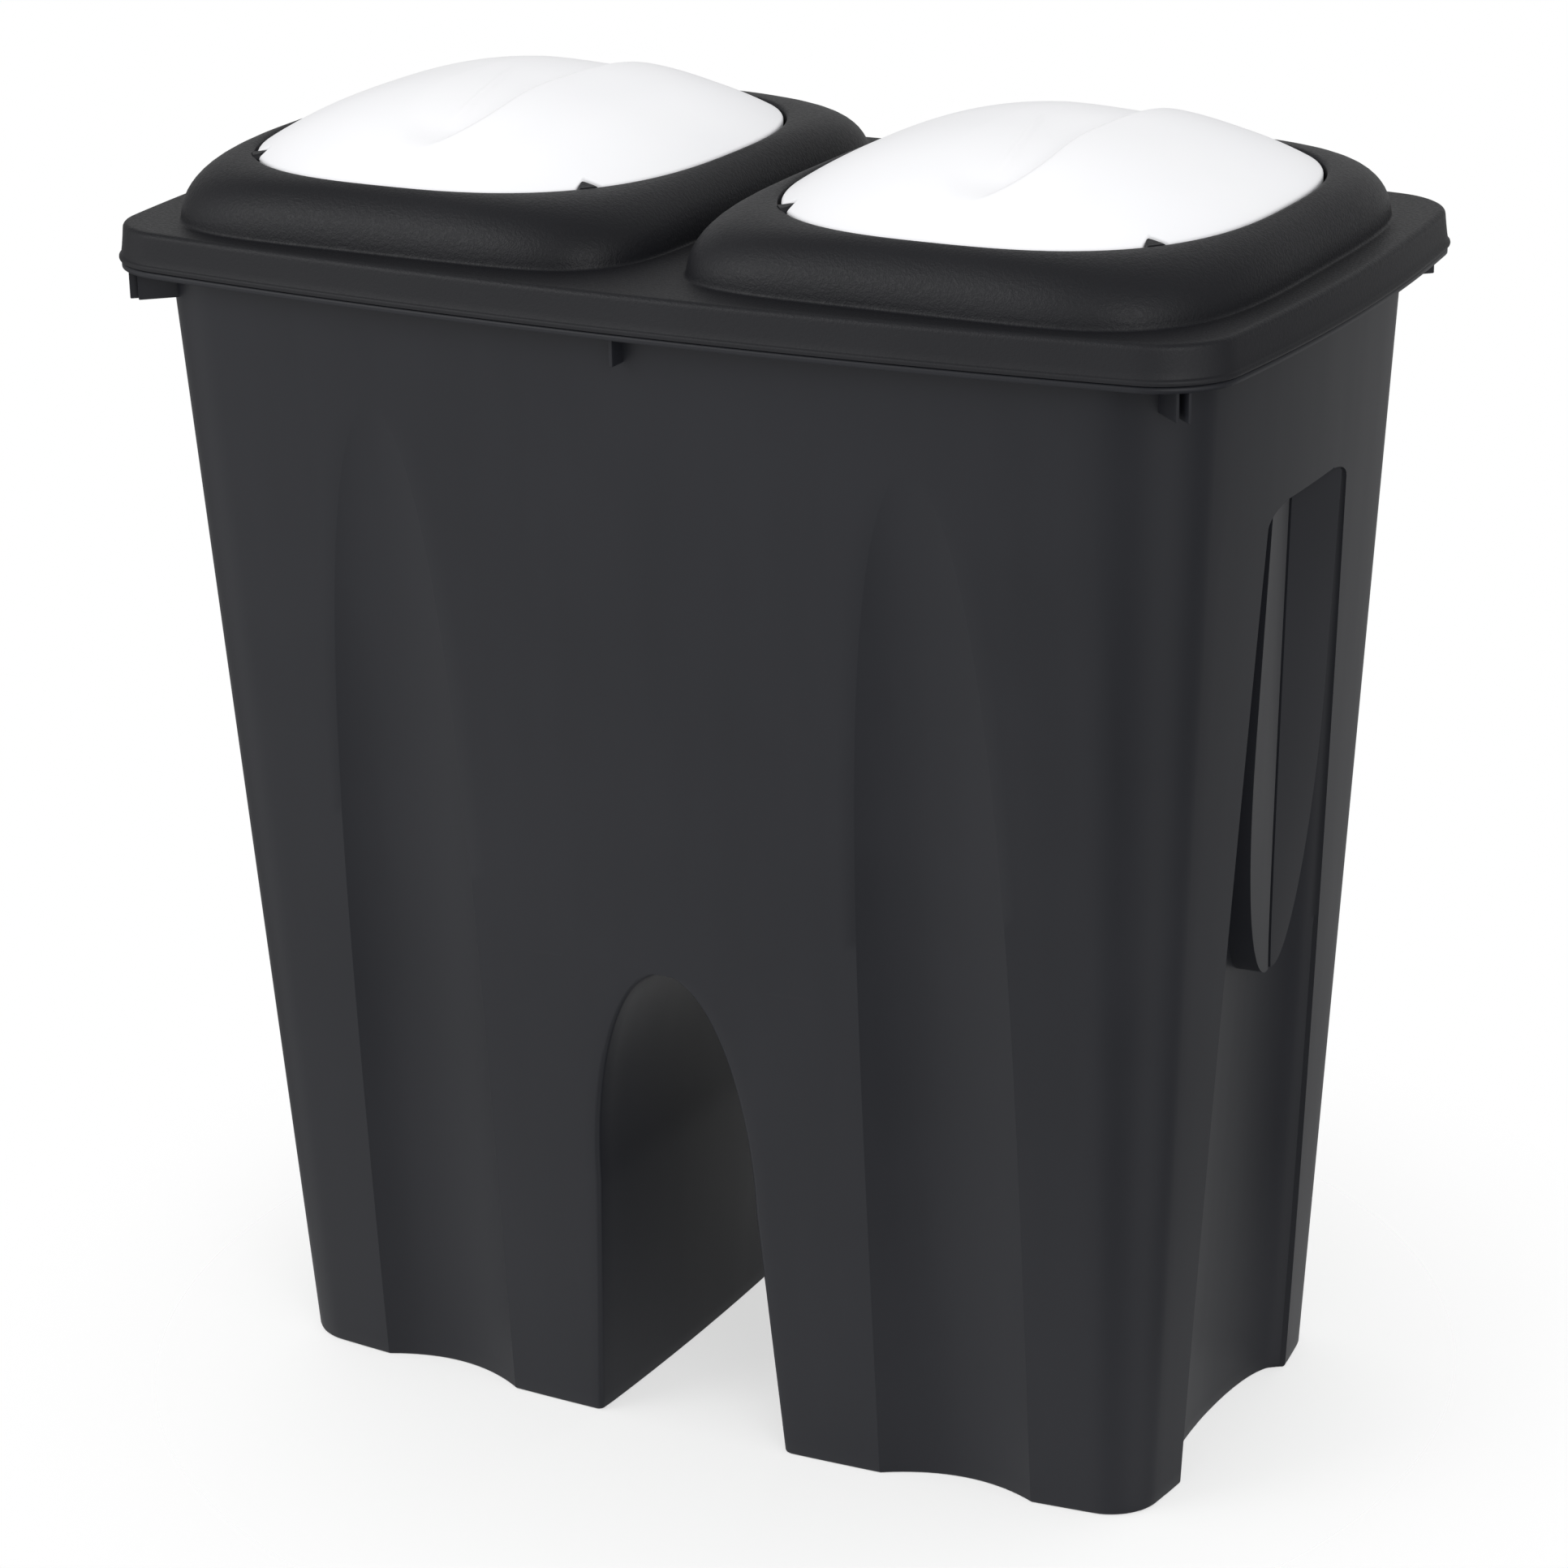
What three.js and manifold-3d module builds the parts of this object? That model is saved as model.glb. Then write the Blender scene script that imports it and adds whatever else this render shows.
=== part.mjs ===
// Double recycling bin: one moulded tub on two legs, one lid with two domes, and a flip flap in each dome.
// Millimetres, +Z up, origin on the floor under the middle of the bin. The long side lies along X.
import * as THREE from 'three';
import { mergeVertices } from 'three/addons/utils/BufferGeometryUtils.js';
import Module from 'manifold-3d';

const wasm = await Module();
wasm.setup();
const { Manifold, Mesh } = wasm;
const { smoothstep } = THREE.MathUtils;

// ---------------------------------------------------------------- driving dimensions
// Tub
const FOOT_HALF_LENGTH = 219;
const FOOT_HALF_DEPTH = 110.6;
const FOOT_CORNER = 19;
const MOUTH_HALF_LENGTH = 248;
const MOUTH_HALF_DEPTH = 142.4;
const MOUTH_CORNER = 36;
const LONG_SIDE_BOW = 11;
const SHORT_SIDE_BOW = 8;
const TUB_HEIGHT = 516;
const TUB_WALL = 2.4;
const FLOOR_THICKNESS = 3;
const FLANGE_THICKNESS = 2.6;
const FLANGE_SIDE_REACH = 15.6;
const FLANGE_FRONT_REACH = 14.6;
const FLANGE_CORNER = 29;
// Arch between the two legs
const ARCH_FOOT_HALF_WIDTH = 46.4;
const ARCH_SPRING_HALF_WIDTH = 38.6;
const ARCH_SPRING_HEIGHT = 119;
const ARCH_APEX_HEIGHT = 226;
const ARCH_SIDE_BOW = 3.4;
// Shallow flutes in the long sides, two on each
const FLUTE_CENTRE = 128.5;
const FLUTE_HALF_WIDTH = 35.5;
const FLUTE_DEPTH = 10;
const FLUTE_TOP = 467;
// Deep flute in each short side, with a split tongue that fills its upper part
const SIDE_FLUTE_HALF_WIDTH = 61;
const SIDE_FLUTE_TOP_HALF_WIDTH = 43;
const SIDE_FLUTE_DEPTH = 17.5;
const SIDE_FLUTE_TOP_DEPTH = 12;
const SIDE_FLUTE_TOP = 441;
const SIDE_FLUTE_NARROWING = 1.6;
const SIDE_FLUTE_SHOULDER = 8;
const SIDE_FLUTE_LEDGE_SHARE = 0.55;
const TONGUE_TIP = 223;
const TONGUE_HALF_WIDTH = 38.5;
const TONGUE_TIP_HALF_WIDTH = 4;
const TONGUE_SPREAD_HEIGHT = 120;
const TONGUE_TOP_SETBACK = 9.2;
const TONGUE_TIP_SETBACK = 2.6;
const TONGUE_SETBACK_POWER = 0.75;
const TONGUE_GROOVE_WIDTH = 2.4;
const TONGUE_GROOVE_DEPTH = 4;
// Stacking fins under the flange
const FIN_THICKNESS = 1.6;
const FIN_DROP = 13;
const MIDDLE_FIN_REACH = 8.5;
const CORNER_FIN_TURN = 42;
const CORNER_FIN_INSET = 22.5;
const CORNER_FIN_LENGTH = 22;
const CORNER_FIN_PITCH = 3.7;
const CORNER_FIN_STEP = 3.2;
// Lid
const LID_SEAT_GAP = 0.3;
const LID_SIDE_OVERHANG = 1.4;
const LID_FRONT_OVERHANG = 1;
const LID_CORNER = 30;
const LID_LONG_SIDE_BOW = 15;
const LID_SHORT_SIDE_BOW = 9;
const LID_SKIRT_HEIGHT = 16;
const LID_SKIRT_TAPER = 1.4;
const LID_EDGE_ROUND = 2.6;
const LID_BEAD_HEIGHT = 2.2;
const LID_BEAD_REACH = 1;
const LID_WALL = 2.2;
const LID_RIB_DROP = 8;
const LID_RIB_THICKNESS = 2;
const LID_RIB_CLEARANCE = 0.9;
// Domes on the lid
const DOME_VALLEY = 16.4;
const DOME_SIDE_MARGIN = 17.8;
const DOME_FRONT_MARGIN = 21;
const DOME_RISE = 24.5;
const DOME_OUTER_POWER = 3.8;
const DOME_INNER_POWER = 6.5;
// Opening in each dome and the flap that closes it
const SHOULDER_SIDE_RUN = 16;
const SHOULDER_FRONT_RUN = 20.6;
const OPENING_POWER = 2.7;
const OPENING_LIP_DROP = 14;
const OPENING_LIP_THICKNESS = 2;
const LEDGE_WIDTH = 6;
const LEDGE_THICKNESS = 2;
const LEDGE_FRONT = -30;
const FLAP_GAP = 1.6;
const FLAP_EDGE_RECESS = 0.5;
const FLAP_CROWN = 27.6;
const FLAP_CROWN_POWER = 2.5;
const FLAP_WALL = 2.2;
const FLAP_SKIRT_DROP = 8;
const FLAP_SEAT_GAP = 0.3;
const HUMP_HEIGHT = 1;
const HUMP_EDGE = 25;
const HUMP_CURL = 18;
const HUMP_CURL_START = -48;
const HUMP_CURL_LENGTH = 45;
const HUMP_FLANK = 6;
const HUMP_FADE = 30;
const SCOOP_DEPTH = 4.2;
const SCOOP_FRONT = -95;
const SCOOP_ROUND = 8;
const SCOOP_LEFT = -6;
const SCOOP_LEAN = 0.61;
const SCOOP_LEFT_RUN = 3;
const SCOOP_SOFTNESS = 0.35;
const SCOOP_REAR_LOSS = 0.4;
const SCOOP_REAR_RUN = 55;
const RELIEF_RISE = 4;
// Pivot cones moulded on the rim of each opening
const PIVOT_SETBACK = 30;
const PIVOT_BELOW_EDGE = 2;
const PIVOT_CONE_RADIUS = 6;
const PIVOT_CONE_LENGTH = 11;
const PIVOT_CONE_SINK = 3;
const PIVOT_SHANK_LENGTH = 9;
const PIVOT_CLEARANCE = 1.2;

// ---------------------------------------------------------------- sizes and heights worked out from them
const FLANGE_HALF_LENGTH = MOUTH_HALF_LENGTH + FLANGE_SIDE_REACH;
const FLANGE_HALF_DEPTH = MOUTH_HALF_DEPTH + FLANGE_FRONT_REACH;
const LID_HALF_LENGTH = FLANGE_HALF_LENGTH + LID_SIDE_OVERHANG;
const LID_HALF_DEPTH = FLANGE_HALF_DEPTH + LID_FRONT_OVERHANG;
const DOME_HALF_LENGTH = (LID_HALF_LENGTH - DOME_SIDE_MARGIN - DOME_VALLEY / 2) / 2;
const DOME_HALF_DEPTH = LID_HALF_DEPTH - DOME_FRONT_MARGIN;
const DOME_PITCH = 2 * DOME_HALF_LENGTH + DOME_VALLEY;
const OPENING_HALF_LENGTH = DOME_HALF_LENGTH - SHOULDER_SIDE_RUN;
const OPENING_HALF_DEPTH = DOME_HALF_DEPTH - SHOULDER_FRONT_RUN;
const PIVOT_FORWARD = OPENING_HALF_DEPTH - PIVOT_SETBACK;
const FLANGE_UNDERSIDE = TUB_HEIGHT - FLANGE_THICKNESS;
const LID_BOTTOM = TUB_HEIGHT + LID_SEAT_GAP;
const LID_TOP = LID_BOTTOM + LID_SKIRT_HEIGHT;
const DOME_TOP = LID_TOP + DOME_RISE;
const FLAP_EDGE = DOME_TOP - FLAP_EDGE_RECESS;
const FLAP_BOTTOM = FLAP_EDGE - FLAP_SKIRT_DROP;
const LEDGE_TOP = FLAP_BOTTOM - FLAP_SEAT_GAP;
const PIVOT_HEIGHT = FLAP_EDGE - PIVOT_BELOW_EDGE;
const OVERSHOOT = 4;
const CORNER_STEPS = 5;
const SIDE_STEPS = 4;
const DOME_POINTS = 40;

// ---------------------------------------------------------------- solids
/** Turns triangles over shared points into a solid that can be joined and cut, with its faces outwards. */
function solidFrom(positions, indices) {
  const geometry = new THREE.BufferGeometry();
  geometry.setAttribute('position', new THREE.Float32BufferAttribute(positions, 3));
  geometry.setIndex(indices);
  const solid = solidOf(geometry);
  if (solid.volume() > 0) {
    return solid;
  }
  geometry.setIndex(indices.toReversed());
  return solidOf(geometry);
}

function solidOf(geometry) {
  const bare = geometry.clone();
  bare.deleteAttribute('normal');
  bare.deleteAttribute('uv');
  const merged = mergeVertices(bare, 1e-4);
  const vertProperties = new Float32Array(merged.attributes.position.array);
  const triVerts = new Uint32Array(merged.index.array);
  return new Manifold(new Mesh({ numProp: 3, vertProperties, triVerts }));
}

/** Skins a stack of rings, each the same number of [x, y, z] points, and closes both ends. */
function loft(rings) {
  const count = rings[0].length;
  const positions = rings.flat(2);
  const indices = [];
  for (let level = 0; level + 1 < rings.length; level++) {
    for (let i = 0; i < count; i++) {
      const a = level * count + i;
      const b = level * count + ((i + 1) % count);
      indices.push(a, b, b + count, a, b + count, a + count);
    }
  }
  indices.push(...capOf(rings[0], 0, true));
  indices.push(...capOf(rings.at(-1), (rings.length - 1) * count, false));
  return solidFrom(positions, indices);
}

/** Triangles that close a ring, seen flat along its own normal axis. */
function capOf(ring, offset, facingBack) {
  const [u, v] = flatAxes(ring);
  const contour = ring.map((point) => new THREE.Vector2(point[u], point[v]));
  const faces = THREE.ShapeUtils.triangulateShape(contour, []);
  const rising = !THREE.ShapeUtils.isClockWise(contour);
  return faces.flatMap(([a, b, c]) => {
    const forward = signedArea(contour[a], contour[b], contour[c]) > 0 === rising;
    const keep = forward !== facingBack;
    return keep ? [a + offset, b + offset, c + offset] : [a + offset, c + offset, b + offset];
  });
}

function signedArea(a, b, c) {
  return (b.x - a.x) * (c.y - a.y) - (c.x - a.x) * (b.y - a.y);
}

/** The two axes along which a ring spreads: [2, 0] for one that stands across Y, [0, 1] for any other. */
function flatAxes(ring) {
  const depths = ring.map((point) => point[1]);
  return Math.max(...depths) - Math.min(...depths) < 1e-6 ? [2, 0] : [0, 1];
}

function joined(solids) {
  return solids.reduce((whole, next) => whole.add(next));
}

function less(solid, cutters) {
  return cutters.reduce((rest, cutter) => rest.subtract(cutter), solid);
}

/** The solid's image on the far side of the middle plane across X, or across Y. */
function mirrored(solid, acrossX) {
  return solid.mirror(acrossX ? [1, 0, 0] : [0, 1, 0]);
}

function blockSolid(low, high) {
  const size = high.map((value, axis) => value - low[axis]);
  const box = new THREE.BoxGeometry(...size);
  box.translate(...low.map((value, axis) => value + size[axis] / 2));
  return solidOf(box);
}

// ---------------------------------------------------------------- outlines
/** Rounded rectangle whose sides bow outwards: the corners are set back by the bow. */
function bowedRectangle(halfLength, halfDepth, corner, longBow, shortBow, z) {
  const points = [];
  const centreX = halfLength - corner;
  const centreY = halfDepth - corner;
  const quarters = [[1, 1], [-1, 1], [-1, -1], [1, -1]];
  quarters.forEach(([sideX, sideY], quarter) => {
    for (let step = 0; step <= CORNER_STEPS; step++) {
      const angle = (quarter + step / CORNER_STEPS) * Math.PI / 2;
      points.push([sideX * centreX + corner * Math.cos(angle), sideY * centreY + corner * Math.sin(angle)]);
    }
    const [nextX, nextY] = quarters[(quarter + 1) % 4];
    const from = points.at(-1);
    const angle = (quarter + 1) * Math.PI / 2;
    const to = [nextX * centreX + corner * Math.cos(angle), nextY * centreY + corner * Math.sin(angle)];
    for (let step = 1; step < SIDE_STEPS; step++) {
      const share = step / SIDE_STEPS;
      points.push([from[0] + (to[0] - from[0]) * share, from[1] + (to[1] - from[1]) * share]);
    }
  });
  return points.map(([x, y]) => [
    x * (1 - shortBow / halfLength * (y / halfDepth) ** 2),
    y * (1 - longBow / halfDepth * (x / halfLength) ** 2),
    z,
  ]);
}

/** Closed curve |x/a|^n + |y/b|^n = 1, with one power on its outer side and one on the side near the middle. */
function softSquare(halfLength, halfDepth, outerPower, innerPower, count, place) {
  const points = [];
  for (let step = 0; step < count; step++) {
    const angle = step / count * 2 * Math.PI;
    const c = Math.cos(angle);
    const s = Math.sin(angle);
    const power = c > 0 ? outerPower : innerPower;
    const blend = Math.abs(c);
    const n = power * blend + (outerPower + innerPower) / 2 * (1 - blend);
    const radius = (Math.abs(c / halfLength) ** n + Math.abs(s / halfDepth) ** n) ** (-1 / n);
    points.push(place(radius * c, radius * s));
  }
  return points;
}

// ---------------------------------------------------------------- tub
/** Share of the way up from the foot to the mouth. */
const rise = (z) => z / TUB_HEIGHT;
const between = (foot, mouth, z) => foot + (mouth - foot) * rise(z);

function tubRing(z, inset) {
  return bowedRectangle(
    between(FOOT_HALF_LENGTH, MOUTH_HALF_LENGTH, z) - inset,
    between(FOOT_HALF_DEPTH, MOUTH_HALF_DEPTH, z) - inset,
    between(FOOT_CORNER, MOUTH_CORNER, z) - inset,
    LONG_SIDE_BOW, SHORT_SIDE_BOW, z);
}

/** Distance of the long side's outer face from the middle plane. */
function longSideAt(x, z) {
  const halfDepth = between(FOOT_HALF_DEPTH, MOUTH_HALF_DEPTH, z);
  const halfLength = between(FOOT_HALF_LENGTH, MOUTH_HALF_LENGTH, z);
  return halfDepth - LONG_SIDE_BOW * (x / halfLength) ** 2;
}

/** Distance of the short side's outer face from the middle plane. */
function shortSideAt(y, z) {
  const halfDepth = between(FOOT_HALF_DEPTH, MOUTH_HALF_DEPTH, z);
  const halfLength = between(FOOT_HALF_LENGTH, MOUTH_HALF_LENGTH, z);
  return halfLength - SHORT_SIDE_BOW * (y / halfDepth) ** 2;
}

/** Space of the arch, grown by a margin: bowed legs, straight to the spring line, an ellipse above it. */
function archSpace(margin) {
  const stations = 4;
  const reach = MOUTH_HALF_DEPTH + OVERSHOOT;
  const rings = [];
  for (let station = 0; station <= stations; station++) {
    const y = reach - 2 * reach * station / stations;
    const pinch = ARCH_SIDE_BOW * Math.max(0, 1 - (y / FOOT_HALF_DEPTH) ** 2);
    rings.push(archSection(margin, pinch).map(([x, z]) => [x, y, z]));
  }
  return loft(rings);
}

function archSection(margin, pinch) {
  const points = [];
  const arcSteps = 12;
  const foot = ARCH_FOOT_HALF_WIDTH - pinch + margin;
  const spring = ARCH_SPRING_HALF_WIDTH - pinch + margin;
  const apexRise = ARCH_APEX_HEIGHT + margin - ARCH_SPRING_HEIGHT;
  points.push([foot, -OVERSHOOT]);
  for (let step = 0; step <= arcSteps; step++) {
    const angle = step / arcSteps * Math.PI;
    points.push([spring * Math.cos(angle), ARCH_SPRING_HEIGHT + apexRise * Math.sin(angle)]);
  }
  points.push([-foot, -OVERSHOOT]);
  return points;
}

/** One shallow flute of the front side, grown by a margin: a parabolic hollow that closes up to a pointed top. */
function fluteSpace(centre, margin) {
  const levels = 9;
  const arcSteps = 8;
  const top = FLUTE_TOP + margin;
  const rings = [];
  for (let level = 0; level <= levels; level++) {
    const share = Math.sin(level / levels * Math.PI / 2);
    const z = -OVERSHOOT + (top + OVERSHOOT) * share;
    const height = Math.max(0, z / top);
    const halfWidth = (FLUTE_HALF_WIDTH + margin) * Math.sqrt(Math.max(1e-4, 1 - height ** 4));
    const depth = (FLUTE_DEPTH + margin) * Math.max(0.01, 1 - height ** 2.5);
    const ring = [];
    for (let step = 0; step <= arcSteps; step++) {
      const angle = Math.PI - step / arcSteps * Math.PI;
      const x = centre + halfWidth * Math.cos(angle);
      ring.push([x, -longSideAt(x, z) + depth * Math.sin(angle) ** 2, z]);
    }
    ring.push([centre + halfWidth, -longSideAt(centre, z) - 2 * OVERSHOOT, z]);
    ring.push([centre - halfWidth, -longSideAt(centre, z) - 2 * OVERSHOOT, z]);
    rings.push(ring.reverse());
  }
  return loft(rings);
}

/** Half width of the deep side flute at a height: widest at the foot, round-shouldered at the top. */
function sideFluteHalfWidth(z) {
  const height = Math.max(0, z / SIDE_FLUTE_TOP);
  const loss = (SIDE_FLUTE_HALF_WIDTH - SIDE_FLUTE_TOP_HALF_WIDTH) * height ** SIDE_FLUTE_NARROWING;
  const climb = Math.max(0, 1 - (SIDE_FLUTE_TOP - z) / SIDE_FLUTE_SHOULDER);
  const shoulder = Math.sqrt(Math.max(0, 1 - climb ** 2));
  return (SIDE_FLUTE_HALF_WIDTH - loss) * (SIDE_FLUTE_LEDGE_SHARE + (1 - SIDE_FLUTE_LEDGE_SHARE) * shoulder);
}

/** The deep flute of the right-hand side, grown by a margin. */
function sideFluteSpace(margin) {
  const heights = [-OVERSHOOT, ...[0.27, 0.54, 0.75, 0.91].map((share) => share * SIDE_FLUTE_TOP)];
  heights.push(...[1, 0.375, 0].map((share) => SIDE_FLUTE_TOP - share * SIDE_FLUTE_SHOULDER));
  const arcSteps = 10;
  const rings = heights.map((z) => {
    const halfWidth = sideFluteHalfWidth(z) + margin;
    const share = Math.max(0, z) / SIDE_FLUTE_TOP;
    const depth = SIDE_FLUTE_DEPTH + (SIDE_FLUTE_TOP_DEPTH - SIDE_FLUTE_DEPTH) * share + margin;
    const height = z === SIDE_FLUTE_TOP ? z + margin : z;
    const ring = [];
    for (let step = 0; step <= arcSteps; step++) {
      const angle = -Math.PI / 2 + step / arcSteps * Math.PI;
      const y = halfWidth * Math.sin(angle);
      ring.push([shortSideAt(y, z) - depth * Math.cos(angle), y, height]);
    }
    ring.push([shortSideAt(0, z) + 2 * OVERSHOOT, halfWidth, height]);
    ring.push([shortSideAt(0, z) + 2 * OVERSHOOT, -halfWidth, height]);
    return ring.reverse();
  });
  return loft(rings);
}

/** Setback of the tongue's face from the side wall: most in the middle of its top, none at its edges. */
function tongueSetback(y, z) {
  const share = Math.max(0, (z - TONGUE_TIP) / (SIDE_FLUTE_TOP - TONGUE_TIP));
  const middle = TONGUE_TIP_SETBACK + (TONGUE_TOP_SETBACK - TONGUE_TIP_SETBACK) * share ** TONGUE_SETBACK_POWER;
  return middle * (1 - Math.min(1, Math.abs(y) / TONGUE_HALF_WIDTH));
}

/** The tongue that fills the upper part of the right-hand flute, shrunk by the inset. */
function tongueSolid(inset) {
  const foot = TONGUE_TIP + inset;
  const heights = [0, 0.02, 0.07, 0.16, 0.33, 0.6, 1].map((share) => foot + share * TONGUE_SPREAD_HEIGHT);
  heights.push(SIDE_FLUTE_TOP + OVERSHOOT);
  const steps = 8;
  const rings = heights.map((z) => {
    const climb = Math.min(1, (z - foot) / TONGUE_SPREAD_HEIGHT);
    const spread = Math.sqrt(1 - (1 - climb) ** 2);
    const halfWidth = TONGUE_TIP_HALF_WIDTH + (TONGUE_HALF_WIDTH - TONGUE_TIP_HALF_WIDTH) * spread - inset;
    const ring = [];
    for (let step = 0; step <= steps; step++) {
      const y = halfWidth * (2 * step / steps - 1);
      ring.push([shortSideAt(y, z) - tongueSetback(y, z) - inset, y, z]);
    }
    const back = shortSideAt(0, z) - SIDE_FLUTE_DEPTH - 3 * TUB_WALL;
    ring.push([back, halfWidth, z]);
    ring.push([back, -halfWidth, z]);
    return ring;
  });
  return loft(rings);
}

/** Upright groove down the middle of the tongue, grown by a margin. */
function tongueGroove(margin) {
  const rings = [TONGUE_TIP - OVERSHOOT, SIDE_FLUTE_TOP + margin].map((z) => {
    const face = shortSideAt(0, z) - tongueSetback(0, z);
    const back = face - TONGUE_GROOVE_DEPTH - margin;
    const front = face + 3 * OVERSHOOT;
    const half = TONGUE_GROOVE_WIDTH / 2 + margin;
    return [[back, -half, z], [front, -half, z], [front, half, z], [back, half, z]];
  });
  return loft(rings);
}

/** What the right-hand side loses on its outer face, grown by a margin for the inner face. */
function sideHollow(margin) {
  const cut = sideFluteSpace(margin).subtract(tongueSolid(margin));
  return cut.add(tongueGroove(margin).intersect(sideFluteSpace(margin)));
}

/** Two parallel plates under the right front corner of the flange, turned to point at it. */
function cornerFins() {
  const low = FLANGE_UNDERSIDE - FIN_DROP;
  const high = FLANGE_UNDERSIDE + FLANGE_THICKNESS / 2;
  const half = FIN_THICKNESS / 2;
  const inner = blockSolid([-CORNER_FIN_LENGTH, -half, low], [0, half, high]);
  const outer = inner.translate([CORNER_FIN_STEP, CORNER_FIN_PITCH, 0]);
  const tip = [FLANGE_HALF_LENGTH - CORNER_FIN_INSET, CORNER_FIN_INSET - FLANGE_HALF_DEPTH, 0];
  return inner.add(outer).rotate([0, 0, -CORNER_FIN_TURN]).translate(tip);
}

function stackingFins() {
  const low = FLANGE_UNDERSIDE - FIN_DROP;
  const high = FLANGE_UNDERSIDE + FLANGE_THICKNESS / 2;
  const half = FIN_THICKNESS / 2;
  const wall = longSideAt(0, low);
  const middle = blockSolid([-half, -wall - MIDDLE_FIN_REACH, low], [half, -wall + TUB_WALL / 2, high]);
  const corner = cornerFins();
  const front = joined([middle, corner, mirrored(corner, true)]);
  return front.add(mirrored(front, false));
}

function tub() {
  const outside = loft([0, TUB_HEIGHT].map((z) => tubRing(z, 0)));
  const inside = loft([FLOOR_THICKNESS, TUB_HEIGHT + OVERSHOOT].map((z) => tubRing(z, TUB_WALL)));
  const flange = loft([FLANGE_UNDERSIDE, TUB_HEIGHT].map((z) => bowedRectangle(
    FLANGE_HALF_LENGTH, FLANGE_HALF_DEPTH, FLANGE_CORNER, LID_LONG_SIDE_BOW, LID_SHORT_SIDE_BOW, z)));
  const hollows = (margin) => {
    const flutes = [-FLUTE_CENTRE, FLUTE_CENTRE].map((centre) => fluteSpace(centre, margin));
    const front = joined(flutes);
    const right = sideHollow(margin);
    return [archSpace(margin), front, mirrored(front, false), right, mirrored(right, true)];
  };
  const shell = less(outside.add(flange), hollows(0));
  const room = less(inside, hollows(TUB_WALL));
  return shell.add(stackingFins().subtract(inside)).subtract(room);
}

// ---------------------------------------------------------------- lid
function lidRing(z, inset) {
  return bowedRectangle(LID_HALF_LENGTH - inset, LID_HALF_DEPTH - inset, Math.max(4, LID_CORNER - inset),
    LID_LONG_SIDE_BOW, LID_SHORT_SIDE_BOW, z);
}

/** Ring of a dome's round shoulder: a quarter ellipse from the base out to the rim of the opening. */
function domeRing(angle, inset) {
  const spread = Math.cos(angle);
  const z = LID_TOP + (DOME_RISE - inset) * Math.sin(angle);
  const halfLength = OPENING_HALF_LENGTH + (DOME_HALF_LENGTH - inset - OPENING_HALF_LENGTH) * spread;
  const halfDepth = OPENING_HALF_DEPTH + (DOME_HALF_DEPTH - inset - OPENING_HALF_DEPTH) * spread;
  const outer = OPENING_POWER + (DOME_OUTER_POWER - OPENING_POWER) * spread;
  const inner = OPENING_POWER + (DOME_INNER_POWER - OPENING_POWER) * spread;
  return softSquare(halfLength, halfDepth, outer, inner, DOME_POINTS, (x, y) => [x + DOME_PITCH / 2, y, z]);
}

function domeSolid(inset) {
  const steps = 5;
  const base = domeRing(0, inset);
  const rings = [base.map(([x, y]) => [x, y, LID_TOP - LID_WALL - OVERSHOOT])];
  for (let step = 0; step <= steps; step++) {
    rings.push(domeRing(step / steps * Math.PI / 2, inset));
  }
  return loft(rings);
}

/** Upright prism over the opening's outline, grown by a margin. */
function openingPrism(margin, low, high) {
  return loft([low, high].map((z) => softSquare(
    OPENING_HALF_LENGTH + margin, OPENING_HALF_DEPTH + margin, OPENING_POWER, OPENING_POWER,
    DOME_POINTS, (x, y) => [x + DOME_PITCH / 2, y, z])));
}

/** Distance of a pivot from the dome's own middle, where the opening's outline crosses the pivot line. */
function pivotReach() {
  const share = (PIVOT_FORWARD / OPENING_HALF_DEPTH) ** OPENING_POWER;
  return OPENING_HALF_LENGTH * (1 - share) ** (1 / OPENING_POWER);
}

/** A cone on the pivot line that points to the middle of the right-hand dome, on its left or right side. */
function pivotCone(side, clearance) {
  const length = PIVOT_CONE_LENGTH + clearance;
  const radius = PIVOT_CONE_RADIUS + clearance;
  const end = length + PIVOT_SHANK_LENGTH;
  const profile = [[0, 0], [radius, length], [radius, end], [0, end]];
  const lathe = new THREE.LatheGeometry(profile.map(([r, h]) => new THREE.Vector2(r, h)), 12);
  lathe.rotateZ(-side * Math.PI / 2);
  const tip = DOME_PITCH / 2 + side * (pivotReach() - length + PIVOT_CONE_SINK);
  lathe.translate(tip, -PIVOT_FORWARD, PIVOT_HEIGHT);
  return solidOf(lathe);
}

function domeFittings() {
  const lipLow = FLAP_EDGE - OPENING_LIP_DROP;
  const lip = openingPrism(OPENING_LIP_THICKNESS, lipLow, DOME_TOP - LID_WALL / 2)
    .subtract(openingPrism(0, lipLow - OVERSHOOT, DOME_TOP));
  const rear = blockSolid([0, LEDGE_FRONT, LEDGE_TOP - LEDGE_THICKNESS],
    [LID_HALF_LENGTH, DOME_HALF_DEPTH, LEDGE_TOP]);
  const ledge = openingPrism(OPENING_LIP_THICKNESS / 2, LEDGE_TOP - LEDGE_THICKNESS, LEDGE_TOP)
    .subtract(openingPrism(-LEDGE_WIDTH, LEDGE_TOP - OVERSHOOT, LEDGE_TOP + OVERSHOOT))
    .intersect(rear);
  const cones = [-1, 1].map((side) => pivotCone(side, 0).intersect(domeSolid(0)));
  return joined([lip, ledge, ...cones]);
}

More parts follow.
